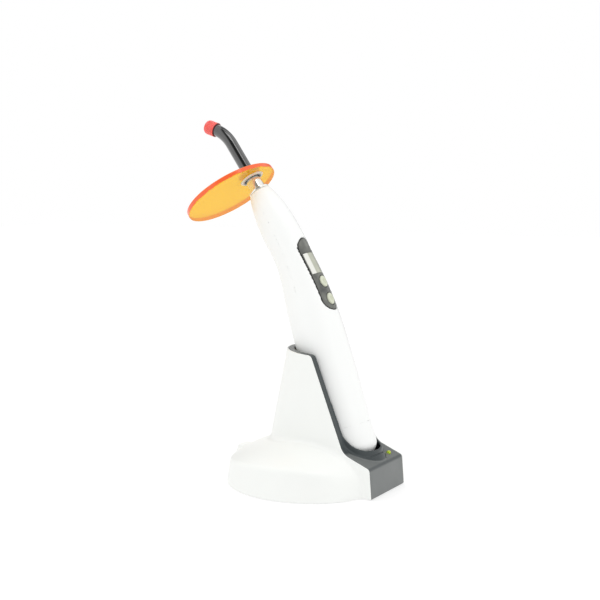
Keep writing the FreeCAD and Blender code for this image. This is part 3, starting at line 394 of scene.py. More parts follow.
def make_materials():
    white, bright = (0.885, 0.895, 0.875), (0.915, 0.92, 0.91)
    return {
        "white_housing": plastic("white_housing", white, 0.34, 0.001, 1400.0, drift=0.004),
        "white_handle": plastic("white_handle", bright, 0.26, 0.001, 1200.0, drift=0.004,
                                Specular_IOR_Level=0.3),
        "grey_insert": insert_paint(),
        "base_underside": plastic("base_underside", (0.72, 0.73, 0.72), 0.55, 0.02, 2500.0),
        "steel_fastener": metal("steel_fastener", (0.55, 0.56, 0.57), 0.32),
        "foot_rubber": plastic("foot_rubber", (0.03, 0.03, 0.032), 0.75, 0.03, 2500.0),
        "ballast_steel": metal("ballast_steel", (0.42, 0.43, 0.44), 0.45),
        "circuit_board": board_green(),
        "inlet_black": plastic("inlet_black", (0.02, 0.02, 0.022), 0.4),
        "carrier_black": plastic("carrier_black", (0.03, 0.03, 0.035), 0.5),
        "gold_contact": metal("gold_contact", (0.86, 0.62, 0.22), 0.22),
        "spring_steel": metal("spring_steel", (0.6, 0.6, 0.6), 0.3),
        "lamp_green": silicone("lamp_green", (0.42, 0.55, 0.03), 0.18, 0.03).material,
        "cell_wrap": plastic("cell_wrap", (0.06, 0.17, 0.42), 0.3),
        "panel_grey": panel_paint(),
        "window_glass": window_paint(),
        "display_glass": plastic("display_glass", (0.42, 0.45, 0.36), 0.2),
        "button_ivory": plastic("button_ivory", (0.66, 0.68, 0.54), 0.42, 0.008, 2500.0),
        "sink_aluminium": metal("sink_aluminium", (0.72, 0.73, 0.74), 0.35),
        "emitter_yellow": plastic("emitter_yellow", (0.85, 0.68, 0.08), 0.3),
        "lens_clear": clear_glass(),
        "neck_chrome": metal("neck_chrome", (0.93, 0.925, 0.88), 0.08, 0.0006, 900.0, 0.72),
        "seal_rubber": plastic("seal_rubber", (0.02, 0.02, 0.02), 0.6),
        "guide_black": plastic("guide_black", (0.010, 0.011, 0.011), 0.10, 0.0008, 900.0,
                               IOR=1.9, Coat_Weight=1.0),
        # the cap's mouth ring is painted dark maroon: painted shade
        "cap_red": silicone("cap_red", (0.86, 0.11, 0.095), 0.34, 0.10).mark(
            "mouth_painted_shade", (0.10, 0.006, 0.006)).material,
        "shield_orange": acrylic(),
        # the bush's lower hole and the ring round it are painted near black: painted shade
        "bush_grey": silicone("bush_grey", (0.66, 0.60, 0.48), 0.35, 0.04).mark(
            "bore_painted_shade", (0.02, 0.012, 0.006)).material,
    }


# ---------------------------------------------------------------- fields
def joined(a, b, radius=0.0):
    """Union of two fields with a fillet."""
    if radius <= 0:
        return np.minimum(a, b)
    rounds = np.hypot(np.maximum(radius - a, 0), np.maximum(radius - b, 0))
    return np.maximum(radius, np.minimum(a, b)) - rounds


def common(a, b, radius=0.0):
    """Intersection of two fields with a rounded edge."""
    if radius <= 0:
        return np.maximum(a, b)
    rounds = np.hypot(np.maximum(radius + a, 0), np.maximum(radius + b, 0))
    return np.minimum(-radius, np.maximum(a, b)) + rounds


def less(a, b, radius=0.0):
    return common(a, -b, radius)


def rod(x, y, radius):
    return np.hypot(x, y) - radius


def between(value, low, high, radius=0.0):
    return common(low - value, value - high, radius)


def slope(y, z, start, end):
    """Distance from the line through two points, positive on the left of its direction."""
    run, rise = end[0] - start[0], end[1] - start[1]
    length = math.hypot(run, rise)
    return ((z - start[1]) * run - (y - start[0]) * rise) / length


def blend_size(radius, turn):
    """What makes joined and common round an edge to a radius where two planes meet at a turn."""
    turn = math.radians(turn)
    return radius * math.tan(turn / 2) * math.sin(turn)


def spline(knots, values, count=800):
    """A smooth curve through the values, as a finely spaced table to read with np.interp."""
    knots, values = np.array(knots, float), np.array(values, float)
    gap, size = np.diff(knots), len(knots)
    system, right = np.eye(size), np.zeros(size)
    for row in range(1, size - 1):
        before, after = gap[row - 1], gap[row]
        system[row, row - 1:row + 2] = before, 2 * (before + after), after
        right[row] = 6 * ((values[row + 1] - values[row]) / after
                          - (values[row] - values[row - 1]) / before)
    bend = np.linalg.solve(system, right)
    places = np.linspace(knots[0], knots[-1], count)
    index = np.clip(np.searchsorted(knots, places) - 1, 0, size - 2)
    left, after = places - knots[index], knots[index + 1] - places
    width = gap[index]
    curve = ((bend[index] * after ** 3 + bend[index + 1] * left ** 3) / (6 * width)
             + (values[index] / width - bend[index] * width / 6) * after
             + (values[index + 1] / width - bend[index + 1] * width / 6) * left)
    return places, curve


# the handle's cross-sections: height above the seat, offset to the rear, half depth,
# half width and lean in degrees
RIBS = (
    (0.0, 0.0, 17.3, 15.9, 0.0),
    (22.0, 0.0, 17.8, 16.3, 0.0),
    (45.0, 0.0, 18.0, 16.4, 0.0),
    (78.0, 0.1, 17.8, 16.2, 0.0),
    (95.0, 0.3, 17.4, 15.9, 0.5),
    (108.0, 0.5, 16.4, 15.2, 1.5),
    (120.0, 0.9, 15.0, 14.2, 3.5),
    (132.0, 1.9, 13.6, 13.2, 7.0),
    (145.0, 4.1, 13.0, 12.6, 11.5),
    (158.0, 7.3, 13.0, 12.5, 14.0),
    (169.0, 9.8, 12.0, 11.7, 14.8),
    (179.5, 12.4, 10.1, 9.9, 15.7),
    (CROWN_HEIGHT, CROWN_OFFSET, 7.5, 7.4, 16.4),
)
RIB_HEIGHT, RIB_OFFSET, RIB_DEPTH, RIB_WIDTH, RIB_LEAN = zip(*RIBS)
OFFSETS = spline(RIB_HEIGHT, RIB_OFFSET)
DEPTHS = spline(RIB_HEIGHT, RIB_DEPTH)
WIDTHS = spline(RIB_HEIGHT, RIB_WIDTH)
LEANS = spline(RIB_HEIGHT, RIB_LEAN)
HEEL_ROUND = 9.0
WALL = 2.2


def grip(x, u, w):
    """The handle's long form in the seat's frame, without its ends."""
    height = w
    for _ in range(5):
        lean = np.tan(np.radians(np.interp(height, *LEANS)))
        height = w + (u - np.interp(height, *OFFSETS)) * lean
    tilt = np.cos(np.radians(np.interp(height, *LEANS)))
    depth, width = np.interp(height, *DEPTHS), np.interp(height, *WIDTHS)
    across = (u - np.interp(height, *OFFSETS)) / tilt
    near = np.hypot(x / width, across / depth)
    steep = np.hypot(x / width ** 2, across / depth ** 2)
    return np.where(steep > TINY, near * (near - 1) / np.maximum(steep, TINY), -depth)


def handle(x, u, w):
    """The closed handle with its round heel."""
    form = common(grip(x, u, w), -w, HEEL_ROUND)
    return common(form, NECK.local(*SEAT.world(x, u, w))[2], 0.7)


def handle_room(x, u, w):
    """The handle's hollow."""
    return common(grip(x, u, w) + WALL, 2.4 - w, HEEL_ROUND - WALL)


SPLIT_START, SPLIT_RADIUS = 105.0, 242.4


def parting(u, w):
    """Distance behind the parting line of the two shells."""
    bent = SPLIT_RADIUS - np.hypot(u - SPLIT_RADIUS, w - SPLIT_START)
    return np.where(w > SPLIT_START, bent, u)


def cap_line(_x, _u, w):
    return w - CAP_HEIGHT


def side_line(_x, u, w):
    return np.where(w > CAP_HEIGHT - 0.5, parting(u, w), 1.0)


def pill(x, y, half_width, half_length):
    reach = half_length - half_width
    return np.hypot(x, np.maximum(np.abs(y) - reach, 0)) - half_width


CAP_HEIGHT = 22.0
BOSSES = ((SEAT.moved(0, 0, 66.0, -90.0), 4.0, -10.0),
          (SEAT.moved(0, 5.0, 153.3, -78.5), 3.6, -5.5))


def shell(x, u, w):
    solid = handle(x, u, w)
    hollow = less(solid, handle_room(x, u, w), 0.2)
    nx, ny, nz = NECK.local(*SEAT.world(x, u, w))
    hollow = less(hollow, np.maximum(rod(nx, ny, 5.75), -15.0 - nz), 0.25)
    return np.maximum(hollow, CAP_HEIGHT - w)


def front_shell(x, u, w):
    field = np.maximum(shell(x, u, w), parting(u, w))
    px, py, pz = PANEL.local(*SEAT.world(x, u, w))
    hole = np.maximum(pill(px, py, 8.1, 26.4), -6.0 - pz)
    return less(field, hole, 0.35)


def rear_shell(x, u, w):
    field = np.maximum(shell(x, u, w), -parting(u, w))
    inside = grip(x, u, w) + 0.8
    for place, radius, head in BOSSES:
        bx, by, bz = place.local(*SEAT.world(x, u, w))
        post = np.maximum(rod(bx, by, radius), np.maximum(bz - 0.5, inside))
        field = joined(field, post, 0.5)
        field = less(field, np.maximum(rod(bx, by, 2.7), bz - head), 0.35)
        field = less(field, np.maximum(rod(bx, by, 1.4), bz - 3.0))
    return field


def end_cap(x, u, w):
    hollow = less(handle(x, u, w), handle_room(x, u, w), 0.2)
    cup = np.maximum(hollow, w - CAP_HEIGHT)
    skirt = grip(x, u, w) + WALL + 0.15
    spigot = np.maximum(between(skirt, -1.3, 0.0), between(w, CAP_HEIGHT - 5.0, CAP_HEIGHT + 4.0))
    root = np.maximum(between(skirt, -1.3, 1.2), between(w, CAP_HEIGHT - 5.0, CAP_HEIGHT - 2.0))
    pads = np.maximum(rod(np.abs(x) - CONTACT_SPREAD, u, 2.25), w - 0.8)
    return less(joined(cup, joined(spigot, root)), pads, 0.15)


def key_oval(x, y):
    near = np.hypot(x / 3.2, y / 3.9)
    steep = np.hypot(x / 3.2 ** 2, y / 3.9 ** 2)
    return near * (near - 1) / np.maximum(steep, TINY)


def key(place, mark):
    """A button that stands a little proud of the panel, with a shallow mark."""
    def field(x, y, z):
        world = PANEL.world(x, y, z)
        top = grip(*SEAT.local(*world)) - 0.4
        edge = key_oval(x, y - place)
        body = common(edge, top, 0.75)
        body = np.maximum(body, -3.3 - z)
        flange = common(edge - 0.85, between(z, -3.98, -3.12), 0.1)
        groove = common(mark(x, y - place), -top - 0.3, 0.0)
        return less(joined(body, flange), groove, 0.12)
    return field


PANEL_HALF, PANEL_REACH, PANEL_RECESS, BEZEL_BACK = 7.8, 26.1, 0.5, -3.0
WINDOW_HALF, WINDOW_REACH, WINDOW_PLACE = 6.4, 7.5, 7.7
KEY_PLACES, KEY_GAP = (-6.2, -18.5), 0.12


def panel_top(x, y, z):
    """The handle's form over the panel."""
    return grip(*SEAT.local(*PANEL.world(x, y, z))) + PANEL_RECESS


def bezel(x, y, z):
    """The panel's grey plate, rounded at its edge, its window and its button holes."""
    plate = common(pill(x, y, PANEL_HALF, PANEL_REACH), panel_top(x, y, z), 0.5)
    plate = np.maximum(plate, BEZEL_BACK - z)
    pane = np.maximum(np.abs(x) - WINDOW_HALF - 0.1, np.abs(y - WINDOW_PLACE) - WINDOW_REACH - 0.1)
    plate = less(plate, pane, 0.12)
    for place in KEY_PLACES:
        plate = less(plate, key_oval(x, y - place) - KEY_GAP, 0.4)
    return plate


# width and fade of the painted shade round the plate's edge and its button holes
GAP_SHADE_WIDTH, GAP_SHADE_FADE = 0.35, 0.45


def bezel_gap_shade(x, y, _z):
    """Painted shade: 1 beside the handle and beside the buttons, 0 elsewhere on the plate."""
    edge = -pill(x, y, PANEL_HALF, PANEL_REACH) - GAP_SHADE_WIDTH
    for place in KEY_PLACES:
        edge = np.minimum(edge, key_oval(x, y - place) - KEY_GAP - GAP_SHADE_WIDTH)
    return np.clip(1.0 - edge / GAP_SHADE_FADE, 0, 1)


PALE_EDGE, PALE_FADE = -3.0, 0.9


def window(x, y, z):
    pane = common(np.abs(x) - WINDOW_HALF, np.abs(y - WINDOW_PLACE) - WINDOW_REACH, 0.4)
    return np.maximum(common(pane, panel_top(x, y, z) + 0.05, 0.15), BEZEL_BACK - z)


def arc_mark(x, y):
    """A ring with a gap and a short bar, the usual sign for power."""
    ring = np.abs(np.hypot(x, y) - 1.35) - 0.22
    gap = np.maximum(np.abs(x) - 0.55, -y)
    bar = np.maximum(np.abs(x) - 0.22, np.abs(y - 1.1) - 0.75)
    return np.minimum(np.maximum(ring, -gap), bar)


def bars_mark(x, y):
    """Three short bars, for the choice of programme."""
    across = np.abs(y - np.clip(np.round(y / 0.95), -1, 1) * 0.95) - 0.17
    return np.maximum(np.abs(x) - 1.25, across)


# the base's outline in the plane of symmetry: front face, brow, throat, rim
FRONT_FOOT, FRONT_BROW = (-51.4, 0.4), (-49.9, 19.5)
THROAT, RIM_FRONT = (-31.0, 27.2), (-7.2, 88.6)
RIM_SLOPE = math.tan(math.radians(5.0))
TOWER_HALF, TOWER_CENTRE = 24.35, 16.4
TOWER_SLANT = math.tan(math.radians(12.3))
FOOT_CENTRE, FOOT_RADIUS, FOOT_DRAFT = 5.0, 57.5, 5.7 / 44.0
FLOOR_GAP = 0.4
HOUSING_WALL, LIP_WALL, INSERT_SKIN = 2.3, 1.0, 2.8
INLET_REAR, INLET_HEIGHT = 62.3, 10.4
CONTACT_SPREAD = 4.5


def outline(y, z):
    """Everything behind the front face, the instep and the tower's front, under its rim."""
    face = slope(y, z, FRONT_FOOT, FRONT_BROW)
    instep = slope(y, z, FRONT_BROW, THROAT)
    front = slope(y, z, THROAT, RIM_FRONT)
    rim = slope(y, z, RIM_FRONT, (RIM_FRONT[0] + 1, RIM_FRONT[1] + RIM_SLOPE))
    low = common(face, instep, blend_size(2.5, 63.2))
    high = common(front, rim, blend_size(3.0, 63.8))
    return joined(low, high, blend_size(9.5, 46.6))


def tower_plan(x, y, z, inset=0.0):
    """The tower's D-shaped plan, leaning forwards as it rises."""
    back = np.maximum(y + z * TOWER_SLANT - TOWER_CENTRE, 0)
    far = np.hypot(x, back)
    steep = np.sqrt(1 + (back / np.maximum(far, TINY) * TOWER_SLANT) ** 2)
    return (far - TOWER_HALF + inset) / steep


def dome(x, y, z):
    """The low dome over the round foot."""
    turn = math.radians(-6.5)
    y, z = y - 10.2, z - 1.8
    y, z = y * math.cos(turn) + z * math.sin(turn), z * math.cos(turn) - y * math.sin(turn)
    across, deep, high = 66.5, 60.0, 31.1
    near = np.sqrt((x / across) ** 2 + (y / deep) ** 2 + (z / high) ** 2)
    steep = np.sqrt((x / across ** 2) ** 2 + (y / deep ** 2) ** 2 + (z / high ** 2) ** 2)
    return near * (near - 1) / np.maximum(steep, TINY)


def foot_side(x, y, z):
    radius = FOOT_RADIUS - (z - FLOOR_GAP) * FOOT_DRAFT
    return (np.hypot(x, y - FOOT_CENTRE) - radius) / math.hypot(1, FOOT_DRAFT)


def inlet_boss(x, y, z):
    """The six-sided boss round the power inlet."""
    flank = slope(np.abs(x), z, (4.9, 18.6), (8.4, 13.2))
    plan = common(common(np.abs(x) - 8.4, flank, 0.4), z - 18.6, 0.5)
    return common(plan, np.maximum(y - INLET_REAR, 38.0 - y), 0.9)


def base_form(x, y, z):
    """The whole base without its hollows."""
    edge = outline(y, z)
    foot = common(common(dome(x, y, z), foot_side(x, y, z), 1.6), edge, 0.6)
    tower = common(tower_plan(x, y, z), edge, 0.45)
    return joined(joined(foot, tower, 3.0), inlet_boss(x, y, z), 1.2)


COVER_SCREWS = ((-39.0, 24.0), (39.0, 24.0), (-37.0, -16.0), (37.0, -16.0))


def housing(x, y, z):
    """The white housing: a shell with a socket for the grey insert."""
    form = base_form(x, y, z)
    edge = outline(y, z)
    field = np.maximum(form, -(form + HOUSING_WALL))
    socket = common(tower_plan(x, y, z, LIP_WALL), -(edge + INSERT_SKIN + 0.1))
    field = less(field, socket, 0.35)
    posts = np.minimum.reduce([rod(x - px, y - py, 4.2) for px, py in COVER_SCREWS])
    holes = np.minimum.reduce([rod(x - px, y - py, 1.3) for px, py in COVER_SCREWS])
    field = joined(field, np.maximum(posts, np.maximum(3.25 - z, form + 1.6)))
    field = less(field, np.maximum(holes, z - 15.0))
    hole = np.maximum(rod(x, z - INLET_HEIGHT, 4.15), 50.0 - y)
    field = less(field, hole, 0.4)
    room = np.maximum(np.maximum(np.abs(x) - 5.0, z - INLET_HEIGHT - 4.6),
                      np.maximum(30.0 - y, y - INLET_REAR + 2.8))
    field = less(field, room)
    return common(field, FLOOR_GAP - z, 0.4)


SEAT_LOW, SEAT_TOP = -3.3, -0.3
BORE, TROUGH = 18.4, 20.6
# upper and lower collar: radius and how far the rim lies under the tower's
COLLARS = ((19.5, 0.0), (20.5, 3.4))
PIN_BORE, LAMP_BORE = 1.1, 1.6
INSTEP_TILT = math.radians(22.4)
OUT_OF_INSTEP = (0, -math.sin(INSTEP_TILT), math.cos(INSTEP_TILT))
LAMP = Axes((14.8, -44.1, 21.75), OUT_OF_INSTEP)
SLOT = Axes((5.5, -46.2, 20.95), OUT_OF_INSTEP)
SLOT_HALF_WIDTH, SLOT_HALF_LENGTH, SLOT_DEPTH = 0.45, 1.2, 1.0


def collar(y, z, reach, w, radius, drop):
    """A ring round the handpiece's foot whose rim sweeps up into the tower's front."""
    knee = (-30.2, 29.7 - drop)
    low = slope(y, z, (-55.0, 25.3 - drop), knee)
    high = slope(y, z, knee, RIM_FRONT)
    region = joined(low, high, blend_size(20.0, 58.6))
    ring = np.maximum(reach - radius, between(w, -9.0, 40.0))
    return common(ring, region, 0.5)


def insert(x, y, z):
    """The grey insert: front face, instep, tower front, rim and the handpiece's cradle."""
    edge = outline(y, z)
    blank = common(tower_plan(x, y, z, LIP_WALL + 0.1), edge, 0.35)
    sx, su, sw = SEAT.local(x, y, z)
    reach = np.hypot(sx, su)
    inner = -(edge + INSERT_SKIN)
    tube = np.maximum(reach - TROUGH, between(sw, SEAT_LOW, 100.0))
    field = np.minimum(np.maximum(blank, inner), np.maximum(tube, blank))
    for radius, drop in COLLARS:
        ring = collar(y, z, reach, sw, radius, drop)
        field = joined(field, np.maximum(ring, inner), 0.7)
    field = np.minimum(field, np.maximum(reach - TROUGH, between(sw, SEAT_LOW, SEAT_TOP)))
    field = less(field, np.maximum(reach - BORE, SEAT_TOP - sw), 0.45)
    pins = np.maximum(rod(np.abs(sx) - CONTACT_SPREAD, su, PIN_BORE), np.abs(sw) - 6.0)
    field = less(field, pins, 0.2)
    lx, ly, lz = LAMP.local(x, y, z)
    field = less(field, np.maximum(rod(lx, ly, LAMP_BORE), np.abs(lz) - 6.0), 0.2)
    across, along, up = SLOT.local(x, y, z)
    sides = np.maximum(np.abs(across) - SLOT_HALF_WIDTH, np.abs(along) - SLOT_HALF_LENGTH)
    field = less(field, np.maximum(sides, -SLOT_DEPTH - up), 0.15)
    return np.maximum(field, FLOOR_GAP - z)


def cradle_painted_shade(x, y, z):
    """Painted shade on the insert: 1 in the cradle, on its collar and up the tower, less along the brow, 0 on the
    flat faces.
    """
    sx, su, sw = SEAT.local(x, y, z)
    above = np.clip((slope(y, z, FRONT_BROW, THROAT) - 0.15) / 0.5, 0, 1)
    inside = np.clip((BORE + 0.6 - np.hypot(sx, su)) / 0.4, 0, 1) * (sw > SEAT_LOW)
    brow = np.clip(1.7 - np.hypot(y - FRONT_BROW[0], z - FRONT_BROW[1]), 0, 1)
    front = np.clip((6.0 - su) / 6.0, 0, 1)
    return np.maximum(np.maximum(above, inside) * front, 0.8 * brow)


def eye_shield(x, y, z):
    """A round sheet, in the neck's frame, with the bush's hole in it."""
    sheet = common(rod(x, y - SHIELD_OFFSET, SHIELD_RADIUS),
                   between(z, SHIELD_LOW, SHIELD_LOW + SHIELD_THICK), 0.5)
    return less(sheet, rod(x, y, 6.8), 0.2)


SHIELD_OFFSET, SHIELD_RADIUS, SHIELD_LOW, SHIELD_THICK = 19.6, 33.15, 11.2, 3.2


# ---------------------------------------------------------------- meshes from fields
def grid_mesh(field, low, high, step):
    """Points and four-sided faces of a field's zero surface, by surface nets."""
    sides = [np.arange(a, b + step, step) for a, b in zip(low, high)]
    x, y, z = np.meshgrid(*sides, indexing="ij")
    value = field(x, y, z)
    inside = value < 0
    cells = tuple(count - 1 for count in value.shape)
    corners = [(i, j, k) for i in (0, 1) for j in (0, 1) for k in (0, 1)]

    def corner(array, offset):
        return array[tuple(slice(o, o + n) for o, n in zip(offset, cells))]

    count = sum(corner(inside, offset).astype(np.int8) for offset in corners)
    active = np.nonzero((count > 0) & (count < len(corners)))
    number = np.full(cells, -1, np.int64)
    number[active] = np.arange(len(active[0]))
    total = np.zeros((len(active[0]), 3))
    hits = np.zeros(len(active[0]))
    for a in corners:
        for axis in range(3):
            if a[axis]:
                continue
            b = tuple(1 if index == axis else a[index] for index in range(3))
            va = corner(value, a)[active]
            vb = corner(value, b)[active]
            crossed = (va < 0) != (vb < 0)
            share = np.where(crossed, va / np.where(crossed, va - vb, 1.0), 0.0)
            spot = np.array(a, float) + share[:, None] * (np.array(b) - np.array(a))
            total += spot * crossed[:, None]
            hits += crossed
    points = (np.stack(active, 1) + total / hits[:, None]) * step + np.array(low, float)
    faces = []
    for axis in range(3):
        second, third = (axis + 1) % 3, (axis + 2) % 3
        ahead = [slice(1, -1)] * 3
        behind = [slice(1, -1)] * 3
        ahead[axis], behind[axis] = slice(1, None), slice(None, -1)
        start, end = inside[tuple(behind)], inside[tuple(ahead)]
        places = np.nonzero(start != end)
        outward = start[places]
        base = [places[index] + (0 if index == axis else 1) for index in range(3)]
        ring = []
        for back_second, back_third in ((1, 1), (0, 1), (0, 0), (1, 0)):
            spot = list(base)
            spot[second] = spot[second] - back_second
            spot[third] = spot[third] - back_third
            ring.append(number[tuple(spot)])
        quad = np.stack(ring, 1)
        quad[~outward] = quad[~outward][:, ::-1]
        faces.append(quad)
    return points, np.concatenate(faces)


def gradient(field, points, reach):
    """The field's steepest direction at each point."""
    parts = []
    for axis in range(3):
        nudge = np.zeros(3)
        nudge[axis] = reach
        parts.append(field(*(points + nudge).T) - field(*(points - nudge).T))
    return np.stack(parts, 1) / (2 * reach)


def settle(field, points, step):
    """Moves each point onto the field's surface."""
    for _ in range(4):
        steep = gradient(field, points, 0.03)
        size = np.maximum((steep ** 2).sum(1), 0.05)
        shift = steep * (field(*points.T) / size)[:, None]
        length = np.linalg.norm(shift, axis=1)
        points = points - shift * np.minimum(1.0, 0.4 * step / np.maximum(length, TINY))[:, None]
    return points


def add_mesh(name, points, faces, axes, body, nodes, material, normals=None):
    """A piece from points in millimetres in a frame. It stands for CAD nodes and rides on a body."""
    world = np.stack(axes.world(*np.asarray(points, float).T), 1) * MM
    mesh = bpy.data.meshes.new(name)
    mesh.from_pydata(world.tolist(), [], [tuple(face) for face in np.asarray(faces).tolist()]
                     if isinstance(faces, np.ndarray) else faces)
    mesh.shade_smooth()
    if normals is not None:
        turned = np.stack(axes.world(*normals.T), 1) - axes.origin
        turned /= np.maximum(np.linalg.norm(turned, axis=1), TINY)[:, None]
        mesh.normals_split_custom_set_from_vertices(turned.tolist())
    piece = bpy.data.objects.new(name, mesh)
    bpy.context.scene.collection.objects.link(piece)
    mesh.materials.append(material)
    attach(piece, body)
    if nodes:
        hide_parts(*nodes)
    return piece


def sharpen(points, skin, cut, reach):
    """Moves the points near the edge between a skin and a cut onto that edge."""
    near = (np.abs(skin(*points.T)) < reach) & (np.abs(cut(*points.T)) < reach)
    edge = points[near]
    for _ in range(4):
        for field in (cut, skin):
            steep = gradient(field, edge, 0.03)
            size = np.maximum((steep ** 2).sum(1), 0.05)
            edge = edge - steep * (field(*edge.T) / size)[:, None]
    points[near] = edge
    return points


def moulded(name, field, low, high, step, axes, body, slot, nodes, skin=None, cuts=()):
    """A moulded piece: the surface of a field over a box of its frame.

    Where it lies on the skin that it shares with its neighbours, it takes the skin's shading
    and keeps a sharp edge at each cut, so that the seam between them stays a hairline.
    """
    points, faces = grid_mesh(field, low, high, step)
    points = settle(field, points, step)
    for cut in cuts:
        points = sharpen(points, skin, cut, 0.55 * step)
    normals = gradient(field, points, 0.12)
    if skin:
        shared = np.abs(skin(*points.T)) < 0.15
        normals[shared] = gradient(skin, points[shared], 0.12)
    return add_mesh(name, points, faces, axes, body, nodes, paints[slot], normals)


# ---------------------------------------------------------------- turned pieces
def rounded(points, radii, count=5):
    """A closed outline with its corners rounded; radii is one number or one for each corner."""
    radii = [radii] * len(points) if isinstance(radii, (int, float)) else radii
    out = []
    for index, (spot, radius) in enumerate(zip(points, radii)):
        spot = np.array(spot, float)
        before = np.array(points[index - 1], float) - spot
        after = np.array(points[(index + 1) % len(points)], float) - spot
        reach_before, reach_after = np.linalg.norm(before), np.linalg.norm(after)
        before, after = before / reach_before, after / reach_after
        half = math.acos(max(-1.0, min(1.0, float(before @ after)))) / 2
        if radius <= 0 or half < 0.05 or half > 1.55:
            out.append(tuple(spot))
            continue
        run = min(radius / math.tan(half), 0.48 * reach_before, 0.48 * reach_after)
        start, end = spot + before * run, spot + after * run
        for step in range(count + 1):
            share = step / count
            out.append(tuple(start * (1 - share) ** 2 + spot * 2 * share * (1 - share)
                             + end * share ** 2))
    return out


def lathe(name, outline_points, axes, body, slot, nodes, steps=96):
    """A piece turned about Z from a closed outline of (radius, height), going anticlockwise."""
    outline_points = np.array(outline_points, float)
    rows = len(outline_points)
    turn = np.arange(steps) * 2 * math.pi / steps
    points, index = [], np.zeros((rows, steps), int)
    for row, (radius, height) in enumerate(outline_points):
        if radius < 1e-6:
            index[row] = len(points)
            points.append((0.0, 0.0, height))
        else:
            index[row] = np.arange(steps) + len(points)
            points += [(radius * math.cos(a), radius * math.sin(a), height) for a in turn]
    faces = []
    for row in range(rows):
        following = (row + 1) % rows
        for step in range(steps):
            ahead = (step + 1) % steps
            face = [index[row, step], index[row, ahead],
                    index[following, ahead], index[following, step]]
            face = [int(corner) for at, corner in enumerate(face) if corner != face[at - 1]]
            if len(face) > 2:
                faces.append(tuple(face))
    piece = add_mesh(name, points, faces, axes, body, nodes, paints[slot])
    piece.data.set_sharp_from_angle(angle=math.radians(40))
    return piece


def swept(name, path, radius, axes, body, slot, nodes, steps=64):
    """A round rod along a list of (point, direction) in the plane X = 0, with softened ends."""
    points, faces = [], []
    soft = 0.5
    ends = [(0.0, 0.25), (0.12, 0.6), (0.35, 0.88), (1.0, 1.0)]
    rings = []
    for at, share in ends:
        rings.append((path[0], at * soft, radius - soft * (1 - share)))
    rings += [(place, 0.0, radius) for place in path[1:-1]]
    for at, share in reversed(ends):
        rings.append((path[-1], -at * soft, radius - soft * (1 - share)))
    for (spot, along), shift, size in rings:
        along = np.array(along, float)
        side = np.cross(along, (1.0, 0.0, 0.0))
        middle = np.array(spot, float) + along * shift
        for step in range(steps):
            turn = 2 * math.pi * step / steps
            points.append(tuple(middle + np.array((1.0, 0, 0)) * size * math.cos(turn)
                                - side * size * math.sin(turn)))
    for row in range(len(rings) - 1):
        for step in range(steps):
            a, b = row * steps + step, row * steps + (step + 1) % steps
            faces.append((a, b, b + steps, a + steps))
    faces.append(tuple(reversed(range(steps))))
    faces.append(tuple(range((len(rings) - 1) * steps, len(rings) * steps)))
    piece = add_mesh(name, points, faces, axes, body, nodes, paints[slot])
    piece.data.set_sharp_from_angle(angle=math.radians(40))
    return piece


def guide_path():
    """The light guide's middle line in the neck's frame: straight, bent, straight."""
    bend, turn, start, end = 27.0, math.radians(36.6), -3.5, 14.8
    reach = bend * math.tan(turn / 2)
    path = [((0, 0, height), (0, 0, 1)) for height in np.linspace(start, CORNER - reach, 24)]
    for share in np.linspace(0, 1, 25)[1:]:
        angle = turn * share
        path.append(((0, bend * (1 - math.cos(angle)), CORNER - reach + bend * math.sin(angle)),
                     (0, math.sin(angle), math.cos(angle))))
    for share in np.linspace(reach, end, 6)[1:]:
        path.append(((0, share * math.sin(turn), CORNER + share * math.cos(turn)),
                     (0, math.sin(turn), math.cos(turn))))
    return path


# ---------------------------------------------------------------- pieces
def build_base():
    moulded("white_housing", housing, (-60, -53, -1), (60, 64, 93), 0.6, WORLD, "base",
            "white_housing", ["base_housing"])
    cradle = moulded("grey_insert", insert, (-24.5, -53, -1), (24.5, 24, 93), 0.55, WORLD,
                     "base", "grey_insert", ["cradle_insert"])
    # paints shade into the insert: its cradle, its collar, the tower's band and the brow
    mark(cradle, "deep", cradle_painted_shade)


def build_handle():
    low, high = (-17.5, -19.5, -1.5), (17.5, 27.0, 194.0)
    moulded("handle_front", front_shell, low, high, 0.6, SEAT, "handpiece", "white_handle",
            ["front_shell"], skin=handle, cuts=(cap_line, side_line))
    moulded("handle_rear", rear_shell, low, high, 0.6, SEAT, "handpiece", "white_handle",
            ["rear_shell"], skin=handle, cuts=(cap_line, side_line))
    moulded("handle_end_cap", end_cap, low, (17.5, 19.5, 28.0), 0.6, SEAT, "handpiece",
            "white_handle", ["end_cap"], skin=handle, cuts=(cap_line,))
    plate = moulded("panel_plate", bezel, (-9, -27.5, -3.6), (9, 27.5, 4.0), 0.35, PANEL,
                    "handpiece", "panel_grey", ["panel_bezel"])
    # paints shade round the plate's edge and its button holes
    mark(plate, "gap", lambda x, y, z: bezel_gap_shade(*PANEL.local(x, y, z)))
    pane = moulded("window_pane", window, (-7, WINDOW_PLACE - 8.2, -3.6),
                   (7, WINDOW_PLACE + 8.2, 4.0), 0.3, PANEL, "handpiece", "window_glass",
                   ["display_window"])
    mark(pane, "pale", lambda x, y, z: np.clip(0.5 - (x - PALE_EDGE) / PALE_FADE, 0, 1))
    for name, place, sign in zip(("upper", "lower"), KEY_PLACES, (arc_mark, bars_mark)):
        moulded(f"{name}_key", key(place, sign), (-4.8, place - 5.4, -4.4),
                (4.8, place + 5.4, 3.5), 0.16, PANEL, f"{name}_key", "button_ivory",
                [f"{name}_button"])


